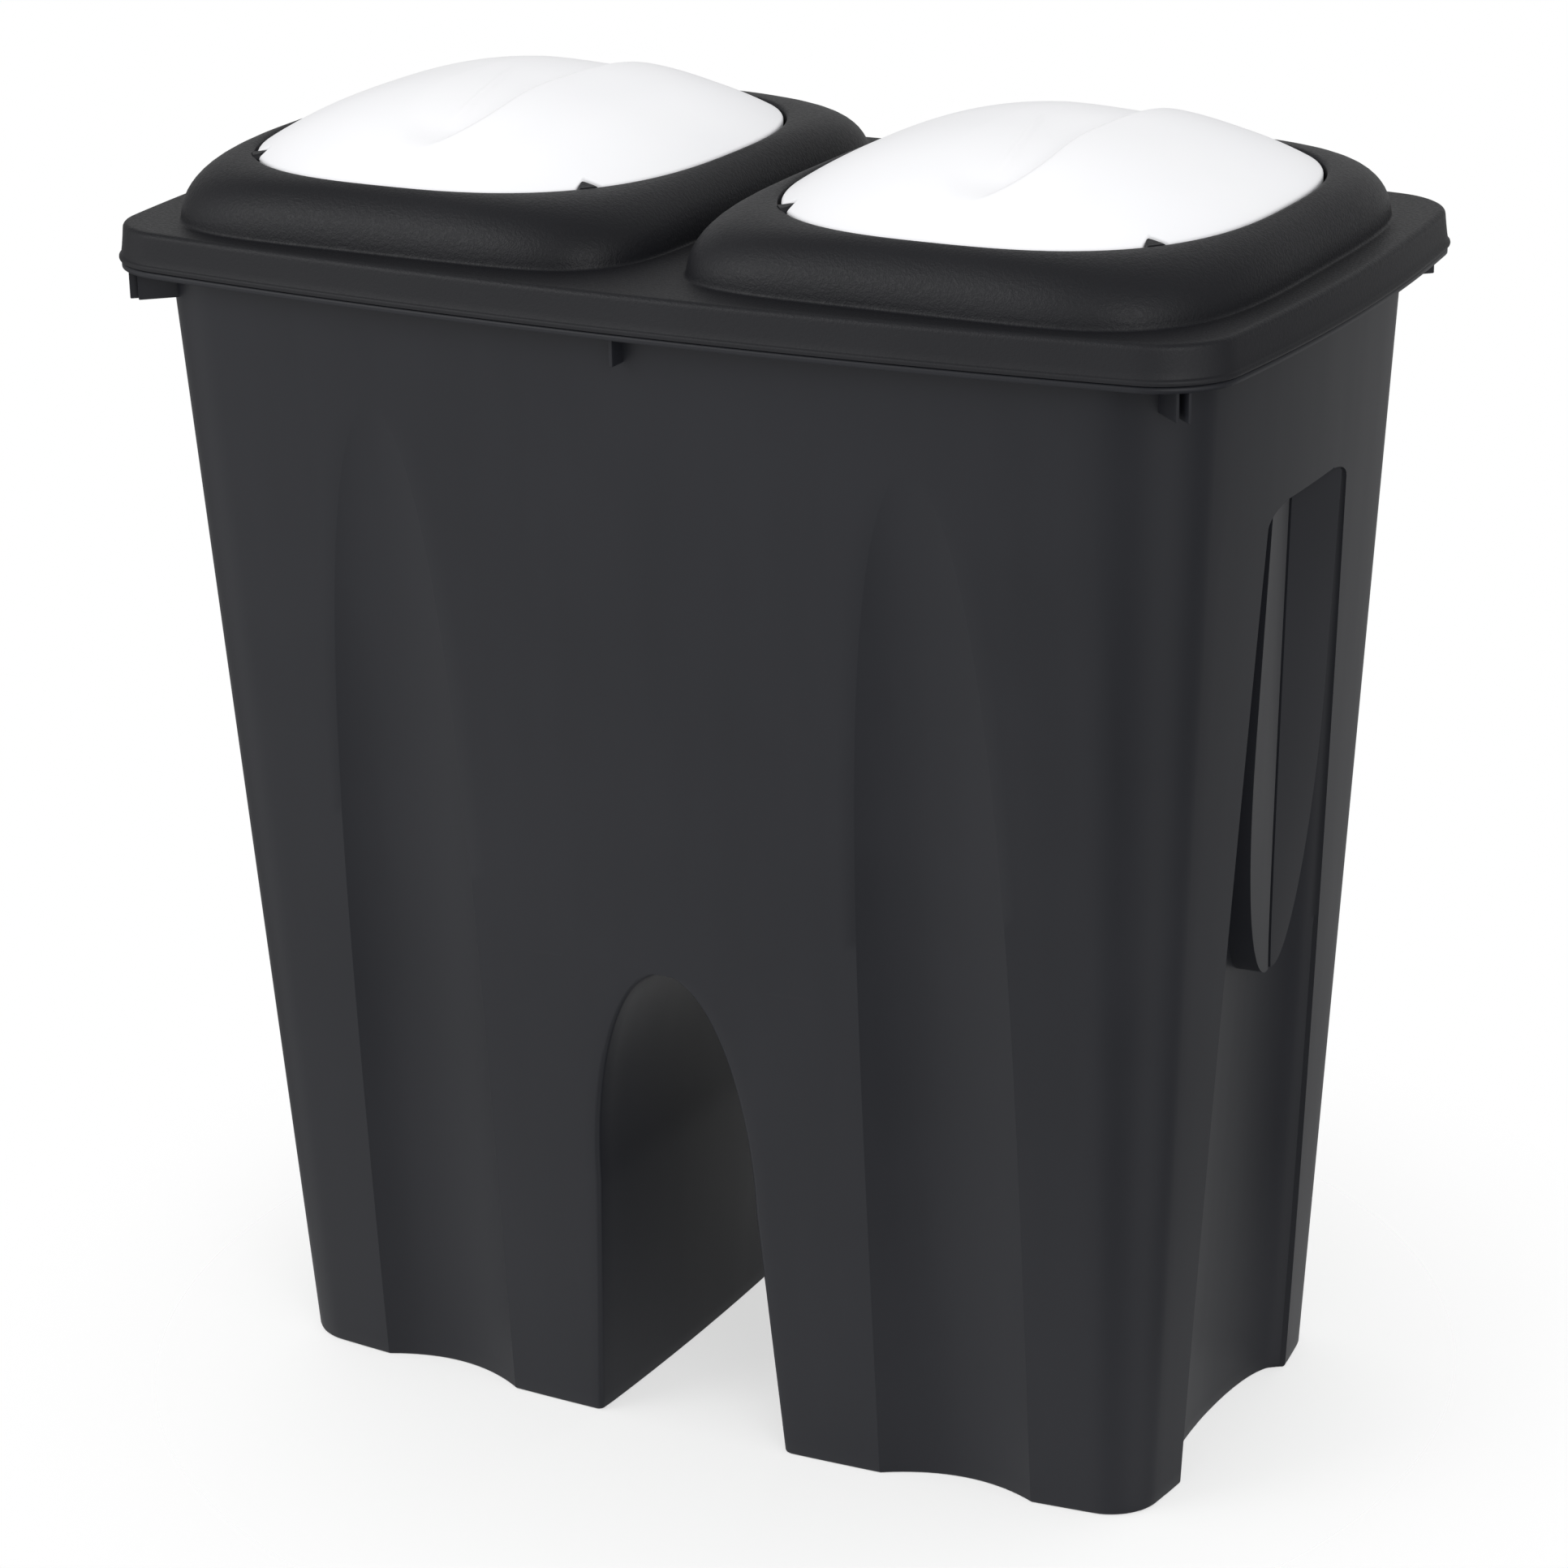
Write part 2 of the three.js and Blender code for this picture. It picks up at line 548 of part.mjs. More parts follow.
function lid() {
  const skirtTop = LID_TOP - LID_EDGE_ROUND;
  const midRound = LID_EDGE_ROUND * (1 - Math.SQRT1_2);
  const beadTop = LID_BOTTOM + LID_BEAD_HEIGHT;
  const outside = loft([
    lidRing(LID_BOTTOM, 0),
    lidRing(beadTop, 0),
    lidRing(beadTop, LID_BEAD_REACH),
    lidRing(skirtTop, LID_BEAD_REACH + LID_SKIRT_TAPER),
    lidRing(LID_TOP - midRound, LID_BEAD_REACH + LID_SKIRT_TAPER + midRound),
    lidRing(LID_TOP, LID_BEAD_REACH + LID_SKIRT_TAPER + LID_EDGE_ROUND),
  ]);
  const inside = loft([
    lidRing(LID_BOTTOM - OVERSHOOT, LID_BEAD_REACH + LID_WALL),
    lidRing(LID_TOP - LID_WALL, LID_BEAD_REACH + LID_SKIRT_TAPER + LID_WALL),
  ]);
  const ribOutset = TUB_WALL + LID_RIB_CLEARANCE;
  const ribLow = TUB_HEIGHT - LID_RIB_DROP;
  const ribHigh = LID_TOP - LID_WALL / 2;
  const rib = loft([ribLow, ribHigh].map((z) => tubRingAt(ribLow, ribOutset, z)))
    .subtract(loft([ribLow - OVERSHOOT, ribHigh + OVERSHOOT].map((z) =>
      tubRingAt(ribLow, ribOutset + LID_RIB_THICKNESS, z))));
  const rightDome = domeSolid(0);
  const rightRoom = domeSolid(LID_WALL);
  const top = joined([outside, rightDome, mirrored(rightDome, true)]);
  const shell = less(top, [inside, rightRoom, mirrored(rightRoom, true)]);
  const right = domeFittings();
  const hole = openingPrism(0, LID_BOTTOM, DOME_TOP + OVERSHOOT);
  const open = less(shell, [hole, mirrored(hole, true)]);
  return joined([open, rib, right, mirrored(right, true)]);
}

/** Outline of the tub's bore at one height, placed at another. */
function tubRingAt(shapeHeight, inset, z) {
  return tubRing(shapeHeight, inset).map(([x, y]) => [x, y, z]);
}

// ---------------------------------------------------------------- flaps
/** Where the hump's edge runs on the flap: straight at the rear, curling to the left at the front. */
function humpEdge(y) {
  return HUMP_EDGE - HUMP_CURL * Math.max(0, (HUMP_CURL_START - y) / HUMP_CURL_LENGTH) ** 2;
}

/** Height of the flap's outer face over its edge: a crown, with a step down to a scoop left of the hump. */
function flapFace(x, y) {
  const halfLength = OPENING_HALF_LENGTH - FLAP_GAP;
  const halfDepth = OPENING_HALF_DEPTH - FLAP_GAP;
  const level = Math.abs(x / halfLength) ** OPENING_POWER + Math.abs(y / halfDepth) ** OPENING_POWER;
  const inner = Math.max(0, 1 - level ** (FLAP_CROWN_POWER / OPENING_POWER));
  const beyond = x - humpEdge(y);
  const hump = HUMP_HEIGHT * smoothstep(beyond, -HUMP_FLANK, 0) * (1 - smoothstep(beyond, 0, HUMP_FADE));
  const fromFront = Math.max(0, y - SCOOP_FRONT);
  const left = SCOOP_LEFT - SCOOP_LEAN * fromFront;
  const fromLeft = smoothstep(x, left, left + SCOOP_LEFT_RUN + SCOOP_SOFTNESS * fromFront);
  const rearLoss = SCOOP_REAR_LOSS * smoothstep(y, 0, SCOOP_REAR_RUN);
  const along = smoothstep(fromFront, 0, SCOOP_ROUND) * (1 - rearLoss);
  const scoop = SCOOP_DEPTH * (1 - smoothstep(beyond, -HUMP_FLANK, 0)) * fromLeft * along;
  return FLAP_CROWN * inner + Math.min(1, RELIEF_RISE * inner) * (hump - scoop);
}

/** Rings of the flap, from its middle out to its edge, lowered by a drop. */
function flapRings(margin, drop) {
  const shares = [0.06, 0.14, 0.24, 0.36, 0.5, 0.64, 0.78, 0.9, 1];
  const place = (x, y) => [x + DOME_PITCH / 2, y, FLAP_EDGE + flapFace(x, y) - drop];
  return shares.map((share) => softSquare(
    (OPENING_HALF_LENGTH - FLAP_GAP - margin) * share, (OPENING_HALF_DEPTH - FLAP_GAP - margin) * share,
    OPENING_POWER, OPENING_POWER, DOME_POINTS, place));
}

/** A cap: the crowned face on top of an upright skirt, closed flat below. */
function flapCap(margin, drop, bottom) {
  const rings = flapRings(margin, drop);
  const edge = rings.at(-1);
  rings.reverse();
  rings.unshift(edge.map(([x, y]) => [x, y, bottom]));
  return loft(rings);
}

function flap() {
  const cap = flapCap(0, 0, FLAP_BOTTOM);
  const room = flapCap(FLAP_WALL, FLAP_WALL, FLAP_BOTTOM - OVERSHOOT);
  const sockets = [-1, 1].map((side) => pivotCone(side, PIVOT_CLEARANCE));
  return less(cap, [room, ...sockets]);
}

// ---------------------------------------------------------------- scene
function meshOf(name, solid, material) {
  const { vertProperties, triVerts } = solid.getMesh();
  const geometry = new THREE.BufferGeometry();
  geometry.setAttribute('position', new THREE.BufferAttribute(vertProperties, 3));
  geometry.setIndex(new THREE.BufferAttribute(triVerts, 1));
  geometry.computeVertexNormals();
  const mesh = new THREE.Mesh(geometry, material);
  mesh.name = name;
  return mesh;
}

const bin = new THREE.Group();
bin.name = 'double_recycling_bin';
const tubPlastic = { color: 0x2c2e33, roughness: 0.45, metalness: 0 };
const lidPlastic = { color: 0x26272a, roughness: 0.6, metalness: 0 };
bin.add(meshOf('two_leg_tub', tub(), new THREE.MeshStandardMaterial(tubPlastic)));
bin.add(meshOf('two_dome_lid', lid(), new THREE.MeshStandardMaterial(lidPlastic)));
const rightFlap = flap();
const leftFlap = rightFlap.translate([-DOME_PITCH, 0, 0]);
const whitePlastic = { color: 0xf1f1f3, roughness: 0.3, metalness: 0 };
bin.add(meshOf('left_flap', leftFlap, new THREE.MeshStandardMaterial(whitePlastic)));
bin.add(meshOf('right_flap', rightFlap, new THREE.MeshStandardMaterial(whitePlastic)));

export default bin;
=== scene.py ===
# %% [markdown]
# # A double recycling bin
#
# The bin is four moulded pieces: a tub that stands on two legs, a lid with two domes, and a flip flap in
# each dome. Each piece is drawn here as a smooth surface worked out with numpy, over the imported solids
# that carry the joints. The frame is loaded first.

import bpy
import numpy as np
from mathutils import Matrix


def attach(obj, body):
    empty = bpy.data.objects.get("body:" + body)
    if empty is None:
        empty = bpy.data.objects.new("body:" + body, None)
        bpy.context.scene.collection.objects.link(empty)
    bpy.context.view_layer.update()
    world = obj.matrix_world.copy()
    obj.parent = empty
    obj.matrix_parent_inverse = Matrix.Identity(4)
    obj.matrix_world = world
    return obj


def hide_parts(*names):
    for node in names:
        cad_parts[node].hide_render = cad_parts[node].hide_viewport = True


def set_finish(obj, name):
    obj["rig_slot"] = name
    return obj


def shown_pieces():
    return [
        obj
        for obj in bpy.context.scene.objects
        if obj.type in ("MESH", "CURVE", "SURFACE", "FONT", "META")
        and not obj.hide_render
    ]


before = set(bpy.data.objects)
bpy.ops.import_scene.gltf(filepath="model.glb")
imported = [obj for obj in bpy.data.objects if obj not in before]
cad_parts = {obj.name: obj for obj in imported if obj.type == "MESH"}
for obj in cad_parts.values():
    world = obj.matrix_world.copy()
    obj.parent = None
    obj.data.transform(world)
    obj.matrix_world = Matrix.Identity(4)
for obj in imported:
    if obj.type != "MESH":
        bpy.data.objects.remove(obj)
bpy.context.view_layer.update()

# %% [markdown]
# ## From arrays to a mesh
#
# All sizes are millimetres of the real bin, and a mesh is in metres. X runs along the long side, Y to the
# rear and Z up. A piece is a few patches, each a grid of points. Patches share their edges, so points
# that fall together are welded. Where a patch closes up to a point, two corners of a face are the same
# point, and the face becomes a triangle.

# %% Mesh tools
MM = 0.001


def smooth_step(value, low, high):
    """0 below low, 1 above high, and 3t^2 - 2t^3 between them, with t the share of the way up."""
    share = np.clip((value - low) / (high - low), 0.0, 1.0)
    return share * share * (3.0 - 2.0 * share)


def grid_corners(rows, columns, first, wrap, flip):
    """The four corners of every face between neighbouring rows and columns of a grid of points."""
    row = np.arange(rows - 1)[:, None] * columns
    column = np.arange(columns if wrap else columns - 1)[None, :]
    beside = (column + 1) % columns
    corners = np.stack([row + column, row + beside, row + columns + beside, row + columns + column], axis=-1)
    corners = corners.reshape(-1, 4) + first
    return corners[:, ::-1] if flip else corners


def weld(points, tolerance=0.004):
    """Points that fall in one tiny cell become one: returns the points kept and each point's new number."""
    cells = np.round(points / tolerance).astype(np.int64)
    _, first, number = np.unique(cells, axis=0, return_index=True, return_inverse=True)
    return points[first], number.reshape(-1)


def face_outwards(points, corners, keep):
    """Turns all faces over when, on the whole, they look towards the middle of the piece's box."""
    across = points[corners[:, 2]] - points[corners[:, 0]]
    other_way = points[corners[:, 3]] - points[corners[:, 1]]
    outward = points[corners].mean(1) - (points.min(0) + points.max(0)) / 2
    if (np.cross(across, other_way) * outward).sum() < 0:
        return corners[:, ::-1], keep[:, ::-1]
    return corners, keep


def make_piece(name, patches, body, slot, sharp_degrees=38.0):
    """Joins patches (points, wrap, flip) into one mesh whose faces look outwards, and rides it on a body."""
    points = np.concatenate([patch.reshape(-1, 3) for patch, _, _ in patches])
    sizes = [patch.shape[0] * patch.shape[1] for patch, _, _ in patches]
    firsts = np.concatenate([[0], np.cumsum(sizes)[:-1]])
    corners = np.concatenate([
        grid_corners(patch.shape[0], patch.shape[1], first, wrap, flip)
        for (patch, wrap, flip), first in zip(patches, firsts)
    ])
    points, number = weld(points)
    corners = number[corners]
    keep = corners != np.roll(corners, 1, axis=1)
    corners, keep = corners[keep.sum(1) > 2], keep[keep.sum(1) > 2]
    corners, keep = face_outwards(points, corners, keep)
    counts = keep.sum(1)
    loop_starts = np.concatenate([[0], np.cumsum(counts)[:-1]])
    mesh = bpy.data.meshes.new(name)
    mesh.vertices.add(len(points))
    mesh.vertices.foreach_set("co", (points * MM).astype(np.float32).ravel())
    mesh.loops.add(int(counts.sum()))
    mesh.loops.foreach_set("vertex_index", corners[keep].astype(np.int32))
    mesh.polygons.add(len(counts))
    mesh.polygons.foreach_set("loop_start", loop_starts.astype(np.int32))
    mesh.update(calc_edges=True)
    mesh.validate()
    mesh.shade_smooth()
    mesh.set_sharp_from_angle(angle=np.radians(sharp_degrees))
    piece = bpy.data.objects.new(name, mesh)
    bpy.context.scene.collection.objects.link(piece)
    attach(piece, body)
    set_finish(piece, slot)
    print(f"{name}: {len(points)} points, {len(counts)} faces")
    return piece


def mirrored(patches, across_x=False, across_y=False):
    """The same patches seen in the mirror planes x = 0 or y = 0. One mirror turns the faces over."""
    scale = np.array([-1.0 if across_x else 1.0, -1.0 if across_y else 1.0, 1.0])
    turned = across_x != across_y
    return [(patch * scale, wrap, flip != turned) for patch, wrap, flip in patches]


def four_quarters(patches):
    """Patches of one quarter with their mirror images in both planes."""
    both = mirrored(patches, across_x=True, across_y=True)
    return patches + mirrored(patches, across_x=True) + mirrored(patches, across_y=True) + both


def moved(patches, x):
    """The same patches moved along X."""
    return [(patch + np.array([x, 0.0, 0.0]), wrap, flip) for patch, wrap, flip in patches]


def stacked(*coordinates):
    """A grid of points from its x, y and z arrays."""
    return np.stack(np.broadcast_arrays(*coordinates), axis=-1).astype(float)


# %% [markdown]
# ## Outlines
#
# The outline of the tub, the flange and the lid is one family: a rounded rectangle whose sides bow
# outwards. It is drawn for one quarter, from the middle of the front, round the corner, to the middle of
# the side. A column's place on it is a share of the straight front, an angle in the corner, or a share of
# the straight side.

# %% Outlines


def bow(x, y, length, depth, long_bow, short_bow):
    """Bends a rounded rectangle: a side falls back towards its corners with the square of the distance."""
    return x * (1 - short_bow / length * (y / depth) ** 2), y * (1 - long_bow / depth * (x / length) ** 2)


def quarter_outline(front, angles, side, length, depth, corner, long_bow, short_bow):
    """Left front quarter of the bowed outline, row by row: front shares, corner angles, side shares to 0."""
    flat = (length - corner) * np.ones_like(front)
    x_front, y_front = -front * flat, -depth * np.ones_like(front)
    x_corner = -(length - corner) - corner * np.sin(angles)
    y_corner = -(depth - corner) - corner * np.cos(angles)
    x_side, y_side = -length * np.ones_like(side), -(depth - corner) * side
    x = np.concatenate([x_front, x_corner, x_side], axis=1)
    y = np.concatenate([y_front, y_corner, y_side], axis=1)
    return bow(x, y, length, depth, long_bow, short_bow)


def between(edges, counts, spread=None):
    """Columns that run evenly from each edge to the next; edges are arrays of one value a row."""
    parts = []
    for index, count in enumerate(counts):
        share = np.arange(count)[None, :] / count
        if spread and index in spread:
            share = spread[index](share)
        parts.append(edges[index][:, None] + (edges[index + 1] - edges[index])[:, None] * share)
    parts.append(edges[-1][:, None])
    return np.concatenate(parts, axis=1)


# %% [markdown]
# ## The tub
#
# The tub's outer skin is a height field on the bowed outline. Its columns follow the edges of the flutes,
# of the side recess and of the arch, so that each crease falls on an edge of the mesh. Rows crowd
# together where a form ends. Lengths and depths of the outlines are half sizes, measured from the middle.

# %% Sizes of the tub
OUTLINE_KEYS = ("length", "depth", "corner")
TUB_FOOT = dict(length=219.0, depth=110.6, corner=19.0)
TUB_MOUTH = dict(length=248.0, depth=142.4, corner=36.0)
TUB_HEIGHT = 516.0
TUB_WALL = 2.4
TUB_BOWS = dict(long_bow=11.0, short_bow=8.0)
FOOT_ROUND = 2.0
LEG_MIDDLE = 132.0

FLANGE = dict(length=263.6, depth=157.0, corner=29.0)
FLANGE_UNDERSIDE = 513.4
LID_BOWS = dict(long_bow=15.0, short_bow=9.0)

ARCH_FOOT = 46.4
ARCH_SPRING = 38.6
ARCH_SPRING_HEIGHT = 119.0
ARCH_APEX = 226.0
ARCH_BOW = 3.4
ARCH_EDGE_ROUND = 2.4

FLUTE_CENTRE = 128.5
FLUTE_LEAN = 3.0
FLUTE_HALF = 35.5
FLUTE_LEAST_HALF = 7.0
FLUTE_DEPTH = 10.0
FLUTE_TOP = 467.0

RECESS_HALF = 61.0
RECESS_TOP_HALF = 43.0
RECESS_DEPTH = 17.5
RECESS_TOP_DEPTH = 12.0
RECESS_TOP = 441.0
RECESS_SHOULDER = 8.0
TONGUE_TIP = 223.0
TONGUE_TIP_HALF = 3.0
TONGUE_SPREAD = 120.0
TONGUE_HALF = 38.5
TONGUE_EDGE = 0.12
TONGUE_EDGE_RISE = 0.5
TONGUE_LOW_RIDGE = 2.1
TONGUE_RIDGE_GROWTH = 6.6
GROOVE_HALF = 1.2
GROOVE_DEPTH = 4.0
print("the tub is", TUB_HEIGHT, "mm high, and its flange is", 2 * FLANGE["length"], "mm long")

# %% The tub's forms


def along(foot, mouth, z):
    """A size that changes evenly from the foot to the mouth."""
    return foot + (mouth - foot) * z / TUB_HEIGHT


def tub_depth(z):
    """Half depth of the tub's outline at each height."""
    return along(TUB_FOOT["depth"], TUB_MOUTH["depth"], z)


def tub_outline_sizes(z):
    """Half length, half depth and corner at each height; the foot's edge is rounded by a quarter circle."""
    under = np.clip(FOOT_ROUND - z, 0, None)
    inset = FOOT_ROUND - np.sqrt(np.clip(FOOT_ROUND ** 2 - under ** 2, 0, None))
    return [along(TUB_FOOT[key], TUB_MOUTH[key], z) - inset for key in OUTLINE_KEYS], inset


def arch_edge(z, grow, y):
    """Half width and height of the arch's edge for a row: straight to the spring line, then an ellipse."""
    pinch = ARCH_BOW * np.clip(1 - (y / TUB_FOOT["depth"]) ** 2, 0, 1)
    climb = np.clip((z - ARCH_SPRING_HEIGHT) / (ARCH_APEX - ARCH_SPRING_HEIGHT), 0, 1)
    straight = ARCH_FOOT + (ARCH_SPRING - ARCH_FOOT) * np.clip(z / ARCH_SPRING_HEIGHT, 0, 1)
    half = (straight + grow - pinch) * np.sqrt(1 - climb ** 2)
    return half, z + grow * climb


def flute_middle(z):
    """Where a front flute's middle stands: it leans inwards with the square of the height."""
    return FLUTE_CENTRE - FLUTE_LEAN * (z / FLUTE_TOP) ** 2


def flute_half(z):
    """Half width of a front flute: full at the foot, closing as a fourth power towards its top."""
    return FLUTE_HALF * np.sqrt(np.clip(1 - (z / FLUTE_TOP) ** 4, 0, None))


def flute_depth(x, z):
    """Depth of a front flute: a parabola across, and less with height."""
    half = np.maximum(flute_half(z), 1e-3)
    across = np.clip(1 - ((np.abs(x) - flute_middle(z)) / half) ** 2, 0, None)
    return FLUTE_DEPTH * np.clip(1 - (z / FLUTE_TOP) ** 2.5, 0, None) * across


def recess_half(z):
    """Half width of the side recess: widest at the foot, with a round shoulder under its top ledge."""
    height = np.clip(z / RECESS_TOP, 0, 1)
    slow = RECESS_HALF - (RECESS_HALF - RECESS_TOP_HALF) * height ** 1.6
    climb = np.clip(1 - (RECESS_TOP - z) / RECESS_SHOULDER, 0, 1)
    return slow * (0.5 + 0.5 * np.sqrt(1 - climb ** 2))


def tongue_half(z):
    """Half width of the tongue: a round tip that spreads until a narrow channel is left on each side."""
    climb = np.clip((z - TONGUE_TIP) / TONGUE_SPREAD, 0, 1)
    return TONGUE_TIP_HALF + (TONGUE_HALF - TONGUE_TIP_HALF) * np.sqrt(1 - (1 - climb) ** 2)


def recess_depth(y, z):
    """Depth of the side: an elliptic hollow, and in it the tongue's two sloping faces and their groove."""
    across = np.abs(y) / recess_half(z)
    bowl = RECESS_DEPTH + (RECESS_TOP_DEPTH - RECESS_DEPTH) * np.clip(z / RECESS_TOP, 0, 1)
    hollow = bowl * np.sqrt(np.clip(1 - across ** 2, 0, None))
    climb = np.clip((z - TONGUE_TIP) / (RECESS_TOP - TONGUE_TIP), 0, 1)
    slope = TONGUE_LOW_RIDGE + TONGUE_RIDGE_GROWTH * climb ** 0.75
    face = TONGUE_EDGE_RISE + slope * np.clip(1 - np.abs(y) / TONGUE_HALF, 0, 1)
    groove = GROOVE_DEPTH * (np.abs(y) < GROOVE_HALF)
    on_tongue = (z > TONGUE_TIP) & (np.abs(y) < tongue_half(z))
    depth = np.where(on_tongue, np.minimum(face + groove, hollow), hollow)
    return np.where((z < RECESS_TOP) & (across < 1), depth, 0.0)


# %% The tub's rows
tub_rows = np.unique(np.concatenate([
    FOOT_ROUND * (1 - np.cos(np.linspace(0, np.pi / 2, 4))),
    np.linspace(8, ARCH_SPRING_HEIGHT, 15),
    ARCH_SPRING_HEIGHT + (ARCH_APEX - ARCH_SPRING_HEIGHT) * np.sin(np.linspace(0, np.pi / 2, 26)),
    TONGUE_TIP + np.array([-0.2, 0.2, 0.8, 1.8, 3.4, 5.6]),
    np.linspace(232, 430, 30),
    RECESS_TOP - np.array([9, 7.8, 6.2, 4.4, 2.8, 1.6, 0.8, 0.2, -0.2, -2.5]),
    np.linspace(449, FLUTE_TOP, 6),
    np.linspace(475, FLANGE_UNDERSIDE, 7),
]).round(3))
least_step = 0.12
tub_rows = tub_rows[np.concatenate([[True], np.diff(tub_rows) > least_step])]
print("rows in the tub's skin:", len(tub_rows))

# %% The tub's columns
ARCH_COLUMNS, FLUTE_COLUMNS, FRONT_END_COLUMNS = 12, 26, 7
SIDE_COLUMNS, HOLLOW_COLUMNS, TONGUE_COLUMNS = 5, 10, 8
CORNER_COLUMNS = 10


def front_columns(z, arch, front_end):
    """x of each column of the front: from the arch over the flute, closer at its edges, to the corner."""
    half = np.maximum(flute_half(z), FLUTE_LEAST_HALF)
    edges = [arch, flute_middle(z) - half, flute_middle(z) + half, front_end]
    round_ends = {1: lambda share: 0.5 - 0.5 * np.cos(np.pi * share)}
    return between(edges, [ARCH_COLUMNS, FLUTE_COLUMNS, FRONT_END_COLUMNS], round_ends)


def side_columns(z, side_end):
    """y of each column of the side: to the recess, round its hollow, and over the tongue to the groove."""
    recess = recess_half(np.minimum(z, RECESS_TOP - 0.3))
    tongue = tongue_half(np.clip(z, TONGUE_TIP + 0.2, RECESS_TOP))
    tongue = np.clip(tongue, TONGUE_TIP_HALF, recess - 1.0)
    edge_angle = np.arcsin(np.clip(tongue / recess, 0, 1))
    share = 1 - np.arange(HOLLOW_COLUMNS + 1)[None, :] / HOLLOW_COLUMNS
    arc = edge_angle[:, None] + (np.pi / 2 - edge_angle)[:, None] * share
    y_hollow = recess[:, None] * np.sin(arc)
    y_hollow[:, -1] = tongue + TONGUE_EDGE
    ones = np.ones_like(z)
    y_outer = between([side_end, recess + 0.02], [SIDE_COLUMNS])[:, :-1]
    y_inner = between([tongue - TONGUE_EDGE, (GROOVE_HALF + 0.2) * ones], [TONGUE_COLUMNS])
    y_groove = np.stack([(GROOVE_HALF - 0.15) * ones, 0.5 * ones, 0 * ones], axis=1)
    return np.concatenate([y_outer, y_hollow, y_inner, y_groove], axis=1)


# %% A quarter of the tub


def flange_rings(top, top_sizes):
    """The skin's top row carried out under the flange, its sizes and bows blended into the flange's."""
    rings = []
    for share in (0.25, 0.6, 1.0):
        sizes = [(1 - share) * size + share * FLANGE[key] for size, key in zip(top_sizes, OUTLINE_KEYS)]
        bows = [(1 - share) * TUB_BOWS[key] + share * LID_BOWS[key] for key in ("long_bow", "short_bow")]
        x, y = quarter_outline(*top, *sizes, *bows)
        rings.append(stacked(x, y, FLANGE_UNDERSIDE))
    return rings


def tub_quarter():
    """Left front quarter of the tub's skin, and its top row carried out under the flange."""
    z = tub_rows
    (length, depth, corner), inset = tub_outline_sizes(z)
    squeeze_x = 1 - TUB_BOWS["short_bow"] / length
    squeeze_y = 1 - TUB_BOWS["long_bow"] / depth
    arch, arch_z = arch_edge(np.minimum(z, ARCH_APEX), ARCH_EDGE_ROUND + inset, tub_depth(z))
    arch = np.where(z < ARCH_APEX - 1e-3, arch, 0.0)
    arch_z = np.where(z <= ARCH_APEX, arch_z, z)
    x_wanted = front_columns(z, arch, (length - corner) * squeeze_x)
    y_wanted = side_columns(z, (depth - corner) * squeeze_y)
    front = x_wanted / squeeze_x[:, None] / (length - corner)[:, None]
    side = y_wanted / squeeze_y[:, None] / (depth - corner)[:, None]
    angles = np.linspace(0, np.pi / 2, CORNER_COLUMNS + 2)[None, 1:-1] * np.ones_like(z)[:, None]
    x, y = quarter_outline(front, angles, side, length[:, None], depth[:, None], corner[:, None], **TUB_BOWS)
    last_front, first_side = front.shape[1], front.shape[1] + CORNER_COLUMNS
    lift = np.zeros(last_front)
    lift[:ARCH_COLUMNS] = (1 - np.arange(ARCH_COLUMNS) / ARCH_COLUMNS) ** 2
    z_grid = np.repeat(z[:, None], x.shape[1], axis=1)
    z_grid[:, :last_front] += (arch_z - z)[:, None] * lift[None, :]
    y[:, :last_front] += flute_depth(x[:, :last_front], z_grid[:, :last_front])
    x[:, first_side:] += recess_depth(y[:, first_side:], z_grid[:, first_side:])
    top = [row[-1:] for row in (front, angles, side)]
    return np.concatenate([stacked(x, y, z_grid)] + flange_rings(top, (length[-1], depth[-1], corner[-1])))


def arch_quarter(front_edge):
    """The arch's inner face from the front edge to the middle plane, a quarter round at the front edge."""
    z = tub_rows[tub_rows <= ARCH_APEX + 1e-3]
    turn = np.linspace(0, np.pi / 2, 5)
    _, inset = tub_outline_sizes(z)
    y_front = front_edge[:len(z), 1]
    y_round = y_front[:, None] + ARCH_EDGE_ROUND * (1 - np.cos(turn))[None, :]
    y_flat = y_round[:, -1:] * (1 - np.linspace(0, 1, 15)[None, 1:])
    y = np.concatenate([y_round, y_flat], axis=1)
    grow = np.concatenate([ARCH_EDGE_ROUND * (1 - np.sin(turn)), np.zeros(y_flat.shape[1])])
    rows = z[:, None] * np.ones_like(y)
    pinch_y = np.concatenate([np.repeat(tub_depth(z)[:, None], len(turn), axis=1), y_flat], axis=1)
    half, height = arch_edge(rows, grow[None, :] + inset[:, None], pinch_y)
    half = np.where(rows < ARCH_APEX - 1e-3, half, 0.0)
    face = stacked(-half, y, height)
    face[:, 0] = front_edge[:len(z)]
    return face


def foot_quarter(skin, arch):
    """The flat underside of a leg: its edge drawn in evenly towards the middle of the leg."""
    edge = np.concatenate([skin[0, ::-1], arch[0, 1:]])
    middle = np.array([-LEG_MIDDLE, 0.0, 0.0])
    share = np.array([0.0, 0.1, 0.4, 0.7, 1.0])[:, None, None]
    return edge[None] + (middle - edge[None]) * share


# %% Build the tub
tub_skin = tub_quarter()
tub_arch = arch_quarter(tub_skin[:, 0])
tub_patches = four_quarters([
    (tub_skin, False, False),
    (tub_arch, False, True),
    (foot_quarter(tub_skin, tub_arch), False, False),
])
tub = make_piece("tub_shell", tub_patches, "tub", "tub_plastic", 24.0)
wall = tub.modifiers.new("wall", "SOLIDIFY")
wall.thickness = TUB_WALL * MM
wall.offset = -1.0
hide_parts("two_leg_tub")

